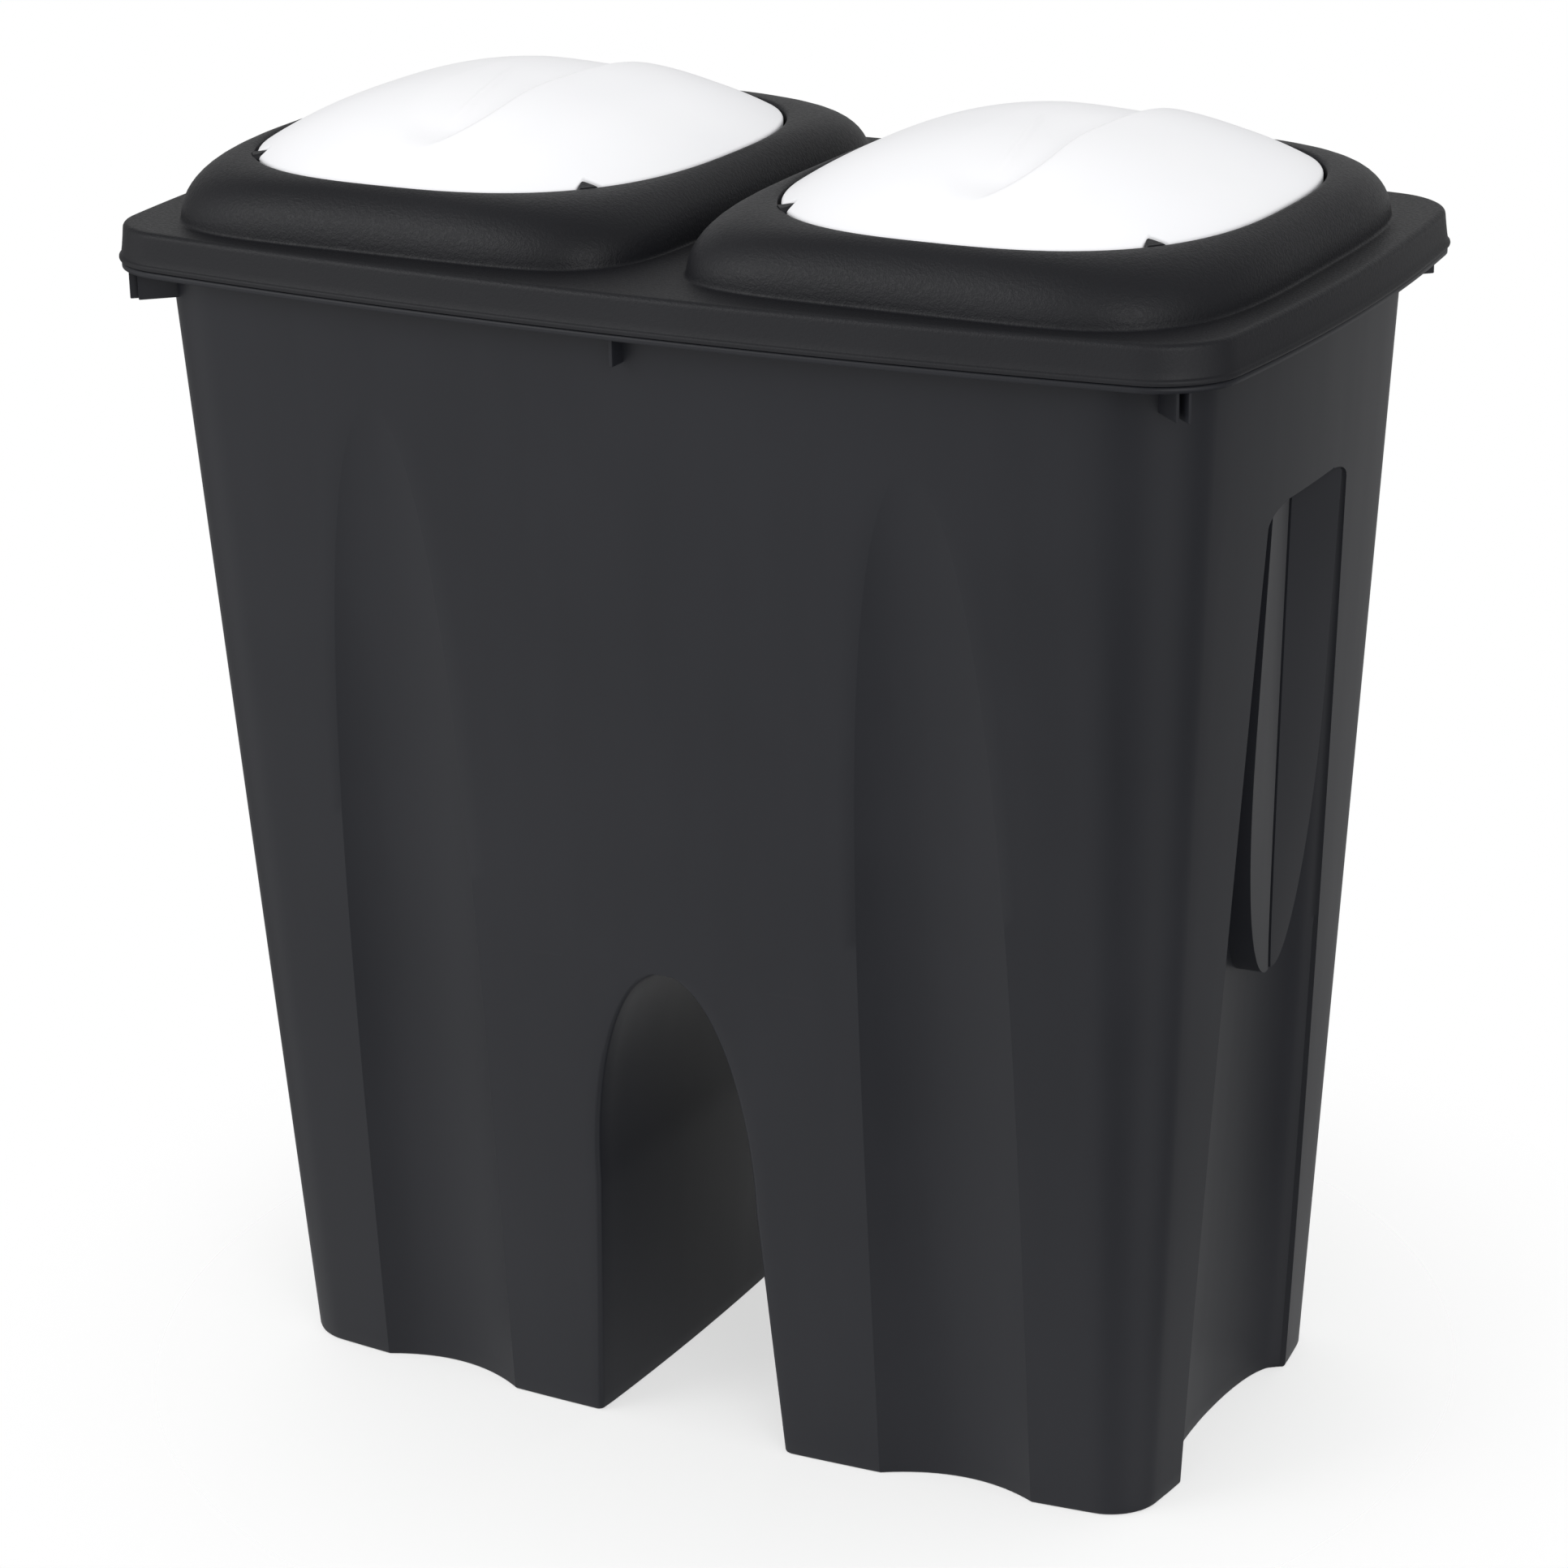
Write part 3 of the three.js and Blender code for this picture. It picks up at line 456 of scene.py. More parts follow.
# %% [markdown]
# ## Stacking fins
#
# Under the flange stand thin moulded fins: one in the middle of each long side, and a slanting pair at
# each corner. A fin is a small plate, so it is drawn as a stack of rounded rectangles, and its foot is
# drawn in.

# %% Stacking fins
FIN_LOW, FIN_HIGH = 500.4, 513.9
FRONT_WALL = -141.5
MIDDLE_FIN = dict(half=0.9, reach=8.5, root=1.2)
CORNER_FIN_TURN = np.radians(42.0)


def fin(low, high, round_edge=0.5):
    """A thin upright plate with soft edges: a rounded rectangle that draws in at its lower end."""
    low, high = np.array(low, float), np.array(high, float)
    middle, half = (low + high) / 2, (high - low) / 2
    turn = np.linspace(0, 2 * np.pi, 24, endpoint=False)
    square_x = np.sign(np.cos(turn)) * np.abs(np.cos(turn)) ** 0.25
    square_y = np.sign(np.sin(turn)) * np.abs(np.sin(turn)) ** 0.25
    levels = np.array([low[2], low[2], low[2] + 0.3 * round_edge, low[2] + round_edge, high[2], high[2]])
    draw_in = np.array([1.0, 0.6, 0.2, 0.0, 0.0, 1.0])
    shrink = np.where((draw_in == 1.0)[:, None], 0.0, 1 - draw_in[:, None] * round_edge / half[None, :2])
    x = middle[0] + half[0] * shrink[:, :1] * square_x
    y = middle[1] + half[1] * shrink[:, 1:] * square_y
    return stacked(x, y, levels[:, None])


def corner_fin(tip_x, tip_y, length=20.0, half=0.65):
    """A plate at the left front corner, one end at the tip, that runs inwards and to the rear from it."""
    points = fin((0.0, -half, FIN_LOW), (length, half, FIN_HIGH))
    cosine, sine = np.cos(CORNER_FIN_TURN), np.sin(CORNER_FIN_TURN)
    x = tip_x + points[..., 0] * cosine - points[..., 1] * sine
    y = tip_y + points[..., 0] * sine + points[..., 1] * cosine
    return stacked(x, y, points[..., 2])


middle_fin = fin((-MIDDLE_FIN["half"], FRONT_WALL - MIDDLE_FIN["reach"], FIN_LOW),
                 (MIDDLE_FIN["half"], FRONT_WALL + MIDDLE_FIN["root"], FIN_HIGH))
fins = [middle_fin, corner_fin(-241.1, -134.5), corner_fin(-245.9, -133.9)]
fin_patches = [(points, True, False) for points in fins]
fin_patches += mirrored(fin_patches[1:], across_x=True)
fin_patches += mirrored(fin_patches, across_y=True)
make_piece("stacking_fins", fin_patches, "tub", "tub_plastic")

# %% [markdown]
# ## The lid
#
# Each half of the lid is a grid of rays from the middle of its dome. The rays run in from the edge of the
# flat plate, up the round shoulder of the dome, over the rim of the opening and down its lip, and back
# under the dome to the edge. Rays suit it because every crease of the lid runs round a dome.

# %% Sizes of the lid
LID_PLATE = dict(length=260.0, depth=153.0, corner=25.0)
LID_BOTTOM = 516.3
LID_TOP = 532.3
LID_WALL = 2.2
LID_ROUND = 2.6
LID_BEAD = 5.0

DOME_MIDDLE = 127.7
DOME_LENGTH = 119.5
DOME_DEPTH = 137.0
DOME_TOP = 556.8
DOME_OUTER_POWER = 3.8
DOME_INNER_POWER = 6.5
OPENING_LENGTH = 103.5
OPENING_DEPTH = 116.4
OPENING_POWER = 2.7
OPENING_LIP = 2.0
OPENING_LIP_LOW = 542.3
print("overall about", 2 * (LID_PLATE["length"] + LID_BEAD), "by", 2 * (LID_PLATE["depth"] + LID_BEAD), "mm")

# %% The lid's rays


def outline_radius(angles, length, depth, corner, long_bow, short_bow):
    """Distance from the middle of the right-hand dome to the bowed outline, along each ray."""
    share = np.linspace(0, 1, 400)[None, :]
    turn = np.linspace(0, np.pi / 2, 200)[None, :]
    x, y = quarter_outline(share, turn, share[:, ::-1], length, depth, corner, long_bow, short_bow)
    x, y = -x[0], y[0]
    ring_x = np.concatenate([x, x[::-1]])
    ring_y = np.concatenate([y, -y[::-1]])
    ring_angle = np.arctan2(ring_y, ring_x - DOME_MIDDLE)
    order = np.argsort(ring_angle)
    return np.interp(angles, ring_angle[order], np.hypot(ring_x - DOME_MIDDLE, ring_y)[order])


edge_angle = np.arctan2(LID_PLATE["depth"], -DOME_MIDDLE)
rays_outer = np.linspace(-edge_angle, edge_angle, 261)
rays_inner = np.linspace(edge_angle, 2 * np.pi - edge_angle, 91)[1:-1]
rays = np.concatenate([rays_outer, rays_inner])
outer_count = len(rays_outer)
print("rays in each half of the lid:", len(rays))

# %% Domes and openings


def soft_square(angles, length, depth, outer_power, inner_power):
    """Points at |x/a|^n + |y/b|^n = 1 on each ray; n changes from the outer side to the inner one."""
    c, s = np.cos(angles), np.sin(angles)
    mean = (outer_power + inner_power) / 2
    power = np.where(c > 0, outer_power, inner_power) * np.abs(c) + mean * (1 - np.abs(c))
    radius = (np.abs(c / length) ** power + np.abs(s / depth) ** power) ** (-1 / power)
    return np.stack([radius * c, radius * s], axis=-1)


def dome_ring(spread, inset=0.0):
    """Outline of a dome between its base (spread 1) and the rim of its opening (spread 0)."""
    length = OPENING_LENGTH + (DOME_LENGTH - inset - OPENING_LENGTH) * spread
    depth = OPENING_DEPTH + (DOME_DEPTH - inset - OPENING_DEPTH) * spread
    outer = OPENING_POWER + (DOME_OUTER_POWER - OPENING_POWER) * spread
    inner = OPENING_POWER + (DOME_INNER_POWER - OPENING_POWER) * spread
    return soft_square(rays, length, depth, outer, inner)


def opening_ring(grow):
    """Outline of the opening, grown by a margin."""
    return soft_square(rays, OPENING_LENGTH + grow, OPENING_DEPTH + grow, OPENING_POWER, OPENING_POWER)


def plate_outline():
    """Edge of half the plate on each ray: the bowed outline, and the middle plane on the inner rays."""
    edge = np.zeros((len(rays), 2))
    outer_radius = outline_radius(rays_outer, **LID_PLATE, **LID_BOWS)
    edge[:outer_count] = outer_radius[:, None] * np.stack([np.cos(rays_outer), np.sin(rays_outer)], axis=-1)
    edge[outer_count:, 0] = -DOME_MIDDLE
    edge[outer_count:, 1] = -DOME_MIDDLE * np.tan(rays_inner)
    edge[[0, outer_count - 1], 0] = -DOME_MIDDLE
    return edge


plate_edge = plate_outline()

# %% Build the lid


def at_height(ring, z):
    """A ring of plan points set at one height, moved to the right-hand dome's place."""
    return stacked(ring[:, 0] + DOME_MIDDLE, ring[:, 1], z)


def lid_half():
    """Rings from the plate's edge over the dome and its rim, down the lip and back under it to the edge."""
    base = dome_ring(1.0)
    to_edge = plate_edge - base
    rings = [at_height(plate_edge - to_edge * share, LID_TOP) for share in (0.0, 0.15, 0.5, 0.85)]
    outward = to_edge / np.linalg.norm(to_edge, axis=1, keepdims=True)
    for reach, lift in ((1.3, 0.0), (0.65, 0.15), (0.22, 0.5)):
        rings.append(at_height(base + outward * reach, LID_TOP + lift))
    rise = DOME_TOP - LID_TOP
    for turn in np.radians([3, 6, 10, 15, 20, 26, 32, 38, 45, 52, 59, 66, 73, 80]):
        rings.append(at_height(dome_ring(np.cos(turn)), LID_TOP + rise * np.sin(turn)))
    rim_round = ((2.2, 0.05), (1.2, 0.1), (0.5, 0.3), (0.12, 0.75), (0.0, 1.5))
    for grow, drop in rim_round + ((0.0, 6.8), (0.0, 11.8)):
        rings.append(at_height(opening_ring(grow), DOME_TOP - drop))
    lip_corner = OPENING_LIP_LOW + 0.5
    for grow, z in ((0.0, lip_corner), (0.4, OPENING_LIP_LOW), (OPENING_LIP - 0.4, OPENING_LIP_LOW),
                    (OPENING_LIP, lip_corner), (OPENING_LIP, DOME_TOP - 4.3)):
        rings.append(at_height(opening_ring(grow), z))
    for turn in np.radians([74, 60, 45, 30, 15, 0]):
        height = LID_TOP + (rise - LID_WALL) * np.sin(turn)
        rings.append(at_height(dome_ring(np.cos(turn), LID_WALL), height))
    under = dome_ring(1.0, LID_WALL)
    for share in (0.0, 0.5, 1.0):
        rings.append(at_height(under + (plate_edge - under) * share, LID_TOP - LID_WALL))
    return np.stack(rings)


def skirt_profile():
    """Reach and height down the skirt: a quarter round, a steep face, a round bead, and the inner face."""
    turn = np.linspace(0, np.pi / 2, 6)
    edge_round = list(zip(LID_ROUND * np.sin(turn), LID_TOP - LID_ROUND * (1 - np.cos(turn))))
    bead = [(3.0, 9.5), (3.5, 5.5), (3.95, 2.9), (4.15, 2.5), (4.6, 2.2), (4.9, 1.8), (LID_BEAD, 1.2),
            (4.9, 0.5), (4.6, 0.1), (4.2, 0.0), (2.2, 0.0), (1.8, 0.9)]
    inner_top = LID_TOP - LID_WALL
    inside = [(0.4, inner_top - 0.5), (0.2, inner_top), (0.0, inner_top)]
    return edge_round + [(reach, LID_BOTTOM + height) for reach, height in bead] + inside


def lid_skirt():
    """The skirt's profile carried round the plate's edge, square to it."""
    edge = plate_edge[:outer_count]
    step = np.gradient(edge, axis=0)
    outward = np.stack([step[:, 1], -step[:, 0]], axis=-1)
    outward /= np.linalg.norm(outward, axis=1, keepdims=True)
    outward[0], outward[-1] = (0.0, -1.0), (0.0, 1.0)
    return np.stack([at_height(edge + outward * reach, z) for reach, z in skirt_profile()])


half_lid = [(lid_half(), True, False), (lid_skirt(), False, True)]
lid = make_piece("lid_shell", half_lid + mirrored(half_lid, across_x=True), "lid", "lid_plastic")
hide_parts("two_dome_lid")

# %% [markdown]
# ## Rib, ledges and pivot cones
#
# Inside the tub's mouth the lid has a locating rib, and in the rear of each opening a ledge on which the
# flap rests. The flap's pivots are two cones that point inwards from the rim. The rib and the ledges are
# profiles carried along an outline, and a cone is a profile turned about its axis.

# %% Rib inside the tub's mouth
RIB_LOW, RIB_HIGH = 508.0, 530.5
RIB_GAP, RIB_WALL = 3.3, 2.0


def lid_rib():
    """A thin upright loop just inside the tub's mouth: four rings joined into a closed band."""
    share = np.linspace(0, 1, 40)[None, :]
    turn = np.linspace(0, np.pi / 2, 14)[None, 1:-1]
    inner = RIB_GAP + RIB_WALL
    corners = ((RIB_GAP, RIB_LOW), (RIB_GAP, RIB_HIGH), (inner, RIB_HIGH), (inner, RIB_LOW),
               (RIB_GAP, RIB_LOW))
    rings = []
    for inset, z in corners:
        sizes = [along(TUB_FOOT[key], TUB_MOUTH[key], RIB_LOW) - inset for key in OUTLINE_KEYS]
        x, y = quarter_outline(share, turn, share[:, ::-1], *sizes, **TUB_BOWS)
        rings.append(stacked(x[0], y[0], z))
    return np.stack(rings)


make_piece("lid_rib", four_quarters([(lid_rib(), False, False)]), "lid", "lid_plastic")

# %% Ledges behind the openings
LEDGE_LOW, LEDGE_TOP = 546.0, 548.0
LEDGE_REACH = 6.0
LEDGE_ROUND = 0.4
LEDGE_FRONT = -30.0


def ledge():
    """A strip along the rear of the opening: a flat rectangle carried along the opening's outline."""
    start = np.arcsin(LEDGE_FRONT / OPENING_DEPTH) + 0.03
    path = np.linspace(start, np.pi - start, 150)
    inner = LEDGE_ROUND - LEDGE_REACH
    corners = ((1.0, LEDGE_LOW), (inner, LEDGE_LOW), (-LEDGE_REACH, LEDGE_LOW + LEDGE_ROUND),
               (-LEDGE_REACH, LEDGE_TOP - LEDGE_ROUND), (inner, LEDGE_TOP), (1.0, LEDGE_TOP),
               (1.0, LEDGE_LOW))
    rows = []
    for grow, z in corners:
        ring = soft_square(path, OPENING_LENGTH + grow, OPENING_DEPTH + grow, OPENING_POWER, OPENING_POWER)
        rows.append(at_height(ring, z))
    strip = np.stack(rows)
    ends = [np.repeat(strip[:, end:end + 1].mean(0, keepdims=True), len(strip), axis=0) for end in (0, -1)]
    return np.concatenate([ends[0], strip, ends[1]], axis=1)


right_ledge = [(ledge(), False, False)]
make_piece("opening_ledges", right_ledge + mirrored(right_ledge, across_x=True), "lid", "lid_plastic")

# %% Pivot cones
PIVOT_FORWARD = 86.4
PIVOT_HEIGHT = 554.3
CONE_REACH = 5.8
CONE_SETBACK = 0.8
CONE_TURN = np.radians(-38.0)
CONE_TIP_LIFT = 3.2


def pivot_reach():
    """Half width of the opening where the pivot line crosses its outline."""
    share = (PIVOT_FORWARD / OPENING_DEPTH) ** OPENING_POWER
    return OPENING_LENGTH * (1 - share) ** (1 / OPENING_POWER)


def pivot_cone():
    """A blunt cone that points inwards from the rim at the right end of the pivot line, its tip lifted."""
    reach = np.array([0.0, 0.0, 0.3, 0.9, 2.4, 4.6, 7.0, 7.0]) - CONE_REACH
    radius = np.array([0.0, 0.5, 0.9, 1.4, 2.5, 4.0, 4.6, 0.0])
    turn = np.linspace(0, 2 * np.pi, 33)[:-1]
    on_axis = reach[:, None] + 0 * turn[None, :]
    across = radius[:, None] * np.cos(turn)[None, :]
    foot_x = DOME_MIDDLE + pivot_reach() - CONE_SETBACK
    x = foot_x + on_axis * np.cos(CONE_TURN) - across * np.sin(CONE_TURN)
    y = -PIVOT_FORWARD + on_axis * np.sin(CONE_TURN) + across * np.cos(CONE_TURN)
    lift = CONE_TIP_LIFT * np.clip(-reach[:, None] / CONE_REACH, 0, 1)
    z = PIVOT_HEIGHT + lift + radius[:, None] * np.sin(turn)[None, :]
    return stacked(x, y, np.minimum(z, DOME_TOP + 0.3 + 0.35 * lift))


outer_cone = [(pivot_cone(), True, False)]
inner_cone = moved(mirrored(moved(outer_cone, -DOME_MIDDLE), across_x=True), DOME_MIDDLE)
cones = outer_cone + inner_cone
make_piece("pivot_cones", cones + mirrored(cones, across_x=True), "lid", "lid_plastic")

# %% [markdown]
# ## The flaps
#
# A flap is a shallow crown. A low hump stands along a curling edge, and to the left of that edge a finger
# scoop runs down to the front. Two tapered notches in its rim go round the pivot cones. Its face is a
# height over a plan, because each of these forms is easy to write down as a height, and the heights are
# added.

# %% The flap's face
FLAP_LENGTH = 101.9
FLAP_DEPTH = 114.8
FLAP_EDGE = 556.3
FLAP_BOTTOM = 548.3
FLAP_CROWN = 27.0
FLAP_CROWN_POWER = 2.5
FLAP_WALL = 2.2
FLAP_ROUND = 1.0
HUMP_RISE, HUMP_STEP, HUMP_WIDTH = 1.2, 3.5, 28.0
SCOOP_FRONT_DEPTH, SCOOP_REAR_LOSS, SCOOP_WIDTH = 4.6, 2.2, 44.0
SCOOP_FRONT = 95.0
CREASE_RISE, CREASE_WIDTH, CREASE_MIDDLE = 0.7, 1.8, -28.0


def hump_edge(y):
    """Where the hump's edge runs: nearly straight at the rear, curling to the left towards the front."""
    return 23.0 + 2.5 * smooth_step(y, -30.0, 50.0) - 17.5 * np.clip((-50.0 - y) / 44.0, 0, None) ** 2.1


def hump(beyond, ahead):
    """Height of the hump: a quick rise at its edge, a slow fall to the right, and nothing at the front."""
    rise = HUMP_RISE * smooth_step(beyond, -HUMP_STEP, 0.0) * (1 - smooth_step(beyond, 0.0, HUMP_WIDTH))
    return rise * smooth_step(ahead, 4.0, 40.0)


def scoop(x, y, beyond, ahead):
    """Depth of the scoop: deepest at the hump's edge, falling off to the left, and closing at the front."""
    left = -6.0 - 0.61 * ahead
    closing = smooth_step(x - left, 0.0, 7.0 + 0.35 * ahead) * smooth_step(ahead, 2.0, 26.0)
    slope = np.clip(1 + (beyond + HUMP_STEP) / SCOOP_WIDTH, 0, 1) ** 1.2
    depth = SCOOP_FRONT_DEPTH - SCOOP_REAR_LOSS * smooth_step(y, -20.0, 60.0)
    return depth * (1 - smooth_step(beyond, -HUMP_STEP, 0.0)) * slope * closing


def crease(x, y):
    """Height of a fine bent crease across the scoop: a bell curve across it that fades at both ends."""
    from_crease = x + 8.0 + 0.28 * y + 0.0013 * y * y
    ends = smooth_step(-np.abs(y - CREASE_MIDDLE), -42.0, -20.0)
    return CREASE_RISE * np.exp(-(from_crease / CREASE_WIDTH) ** 2) * ends


def flap_face(x, y):
    """Height over the rim: a crown, plus the hump and the crease, less the scoop, all fading at the rim."""
    level = np.abs(x / FLAP_LENGTH) ** OPENING_POWER + np.abs(y / FLAP_DEPTH) ** OPENING_POWER
    inner = np.clip(1 - level ** (FLAP_CROWN_POWER / OPENING_POWER), 0, None)
    beyond = x - hump_edge(y)
    ahead = np.clip(y + SCOOP_FRONT, 0, None)
    relief = hump(beyond, ahead) - scoop(x, y, beyond, ahead) + crease(x, y)
    return FLAP_CROWN * inner + np.minimum(1, 4 * inner) * relief


# %% The flap's outline and notches


def notch(distance, half_width=6.2, depth=6.0):
    """How far a pivot notch cuts into the rim, at a distance from the pivot: a V with a soft point."""
    share = np.clip(1 - np.sqrt(distance ** 2 + 0.5) / half_width, 0, 1)
    return depth * share ** 0.9


def flap_turns():
    """Angles round the rim: 400 even ones, and closer ones at the two notches."""
    pivot_angle = np.arctan2(-PIVOT_FORWARD, pivot_reach())
    cluster = np.linspace(-0.075, 0.075, 27)
    even = np.linspace(-np.pi, np.pi, 400, endpoint=False)
    turns = np.concatenate([even, pivot_angle + cluster, -np.pi - pivot_angle + cluster])
    return np.unique(turns.round(5))


def rim_normal(rim):
    """Unit normal of |x/a|^n + |y/b|^n = 1: its gradient, made one long."""
    half_sizes = np.array([FLAP_LENGTH, FLAP_DEPTH])
    normal = np.sign(rim) * np.abs(rim / half_sizes) ** (OPENING_POWER - 1) / half_sizes
    return normal / np.linalg.norm(normal, axis=1, keepdims=True)


def flap():
    """Rings from the middle of the face out to the rim, down its edge, and back under the crown."""
    rim = soft_square(flap_turns(), FLAP_LENGTH, FLAP_DEPTH, OPENING_POWER, OPENING_POWER)
    normal = rim_normal(rim)
    from_pivot = np.hypot(np.abs(rim[:, 0]) - pivot_reach() + 0.6, rim[:, 1] + PIVOT_FORWARD - 1.7)
    cut = normal * notch(from_pivot)[:, None]

    def ring(share, inset):
        return rim * share - normal * inset - cut * smooth_step(np.array(share), 0.6, 1.0)

    def draped(plan, drop):
        return at_height(plan, FLAP_EDGE + flap_face(plan[:, 0], plan[:, 1]) - drop)

    top_shares = np.concatenate([np.linspace(0, 0.9, 100), np.linspace(0.912, 0.985, 9)])
    rings = [draped(ring(share, 0.0), 0.0) for share in top_shares]
    for turn in np.linspace(0, np.pi / 2, 5):
        rings.append(draped(ring(1.0, FLAP_ROUND * (1 - np.sin(turn))), FLAP_ROUND * (1 - np.cos(turn))))
    for inset, height in ((0.0, 3.7), (0.0, 0.4), (0.4, 0.0), (1.8, 0.0)):
        rings.append(at_height(ring(1.0, inset), FLAP_BOTTOM + height))
    for share in (0.985, 0.96, 0.9, 0.8, 0.65, 0.5, 0.35, 0.2, 0.0):
        rings.append(draped(ring(share, FLAP_WALL * share), FLAP_WALL))
    return np.stack(rings)


# %% Build the flaps
right_flap = [(flap(), True, False)]
left_flap = moved(right_flap, -2 * DOME_MIDDLE)
right_cover = make_piece("right_flap_cover", right_flap, "right_flap_body", "flap_plastic", 50.0)
left_cover = make_piece("left_flap_cover", left_flap, "left_flap_body", "flap_plastic", 50.0)
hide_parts("right_flap")
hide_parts("left_flap")

# %% [markdown]
# ## Materials
#
# A material is written as sums of sockets. One small class wraps a socket and adds Math nodes for the
# operators.

# %% Shader sums


class Term:
    """One socket of a node tree, used like a number, so that 1 - grain adds a Math node."""

    def __init__(self, tree, socket):
        self.tree = tree
        self.socket = socket

    def node(self, kind, settings=None, inputs=None, output=0):
        """Adds any other node: its settings first, then the values or links of its sockets."""
        made = self.tree.nodes.new(kind)
        for key, value in (settings or {}).items():
            setattr(made, key, value)
        for key, value in (inputs or {}).items():
            if isinstance(value, Term):
                self.tree.links.new(value.socket, made.inputs[key])
            else:
                made.inputs[key].default_value = value
        return Term(self.tree, made.outputs[output])

    def sum(self, operation, first, second):
        """A Math node on two values or terms."""
        return self.node("ShaderNodeMath", {"operation": operation}, {0: first, 1: second})

    def __add__(self, other):
        return self.sum("ADD", self, other)

    def __mul__(self, other):
        return self.sum("MULTIPLY", self, other)

    def __sub__(self, other):
        return self.sum("SUBTRACT", self, other)

    def __rsub__(self, other):
        return self.sum("SUBTRACT", other, self)

    __radd__ = __add__
    __rmul__ = __mul__

    def step(self, low, high):
        """0 below low and 1 above high, smooth between them."""
        settings = {"interpolation_type": "SMOOTHSTEP"}
        return self.node("ShaderNodeMapRange", settings, {"Value": self, "From Min": low, "From Max": high})

    def noise(self, scale, detail=2.0, roughness=0.5):
        """Soft noise over this vector, about 1/scale metres from one bump to the next."""
        values = {"Vector": self, "Scale": scale, "Detail": detail, "Roughness": roughness}
        return self.node("ShaderNodeTexNoise", None, values)

    def blend(self, first, second):
        """A colour between two others, with this term as the share of the second."""
        return self.node("ShaderNodeMix", {"data_type": "RGBA"}, {0: self, 6: first, 7: second}, output=2)

    def stretched(self, x, y, z):
        """This vector with each coordinate multiplied."""
        return self.node("ShaderNodeVectorMath", {"operation": "MULTIPLY"}, {0: self, 1: (x, y, z)})

    def bump(self, strength, distance):
        """A normal bent by this height; distance in metres."""
        values = {"Strength": strength, "Distance": distance, "Height": self}
        return self.node("ShaderNodeBump", None, values)


def new_material(name):
    """An empty material: its surface shader and the object coordinates, as terms."""
    material = bpy.data.materials.new(name)
    material.use_nodes = True
    tree = material.node_tree
    shader = next(node for node in tree.nodes if node.type == "BSDF_PRINCIPLED")
    coordinates = tree.nodes.new("ShaderNodeTexCoord")
    return material, tree, shader, Term(tree, coordinates.outputs["Object"])


def connect(tree, shader, **links):
    """Links terms to the shader's sockets; an underscore in a name stands for a space."""
    for name, term in links.items():
        tree.links.new(term.socket, shader.inputs[name.replace("_", " ")])


# %% [markdown]
# ## Three plastics
#
# The tub is a smooth satin charcoal with faint upright flow marks, the lid a matte charcoal with a
# moulded grain, and the flaps a white satin plastic. Noise over the object's own coordinates gives each
# its tone and its skin, because a moulded surface has no seam that a pattern would have to follow.

# %% Satin charcoal of the tub


def tub_plastic():
    """Smooth satin plastic: faint cloudy tone, faint upright flow marks and a very fine skin."""
    material, tree, shader, place = new_material("satin charcoal plastic")
    shader.inputs["Specular IOR Level"].default_value = 0.32
    clouds = place.noise(7.0, 3.0)
    flow = place.stretched(1.0, 1.0, 0.12).noise(60.0, 2.0)
    skin = place.noise(1600.0, 2.0, 0.6)
    tone = clouds * 0.7 + flow * 0.3
    colour = tone.step(0.3, 0.7).blend((0.0112, 0.0120, 0.0155, 1), (0.0140, 0.0148, 0.0188, 1))
    roughness = 0.40 + 0.06 * flow + 0.05 * clouds
    bump = (skin * 0.5 + flow * 0.5).bump(0.12, 0.0002)
    connect(tree, shader, Base_Color=colour, Roughness=roughness, Normal=bump)
    return material


# %% Grained charcoal of the lid


def lid_plastic():
    """Matte plastic with a moulded grain: strong on the plate and the domes, faint on the skirt."""
    material, tree, shader, place = new_material("grained charcoal plastic")
    shader.inputs["Specular IOR Level"].default_value = 0.30
    height_over_floor = place.node("ShaderNodeSeparateXYZ", None, {0: place}, output="Z")
    on_top = 0.35 + 0.65 * height_over_floor.step(0.527, 0.5325)
    coarse = place.noise(620.0, 2.0, 0.6)
    fine = place.noise(1500.0, 1.0, 0.5)
    grain = (coarse * 0.65 + fine * 0.35).step(0.32, 0.68)
    clouds = place.noise(9.0, 3.0)
    colour = clouds.step(0.3, 0.7).blend((0.0085, 0.0088, 0.0110, 1), (0.0110, 0.0113, 0.0138, 1))
    roughness = 0.52 - 0.10 * grain * on_top + 0.05 * clouds
    bump = (grain * on_top).bump(0.35, 0.0003)
    connect(tree, shader, Base_Color=colour, Roughness=roughness, Normal=bump)
    return material


# %% White plastic of the flaps


def flap_plastic():
    """White satin plastic with a faint cloudiness and a fine orange-peel skin."""
    material, tree, shader, place = new_material("white satin plastic")
    shader.inputs["Specular IOR Level"].default_value = 0.42
    clouds = place.noise(11.0, 2.0)
    skin = place.noise(420.0, 2.0, 0.5)
    colour = clouds.step(0.3, 0.7).blend((0.850, 0.852, 0.872, 1), (0.870, 0.871, 0.886, 1))
    roughness = 0.34 + 0.06 * clouds
    connect(tree, shader, Base_Color=colour, Roughness=roughness, Normal=skin.bump(0.05, 0.0002))
    return material


# %% Give every piece its finish


def finish_with(piece, material):
    """The material takes the place of whatever the mesh had."""
    piece.data.materials.clear()
    piece.data.materials.append(material)


finishes = {"tub_plastic": tub_plastic(), "lid_plastic": lid_plastic(), "flap_plastic": flap_plastic()}
node_slots = {"two_leg_tub": "tub_plastic", "two_dome_lid": "lid_plastic",
              "left_flap": "flap_plastic", "right_flap": "flap_plastic"}
for slot, material in finishes.items():
    for piece in [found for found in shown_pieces() if found.get("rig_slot") == slot]:
        finish_with(piece, material)
for name, slot in node_slots.items():
    finish_with(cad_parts[name], finishes[slot])
print("finishes:", sorted(finishes))

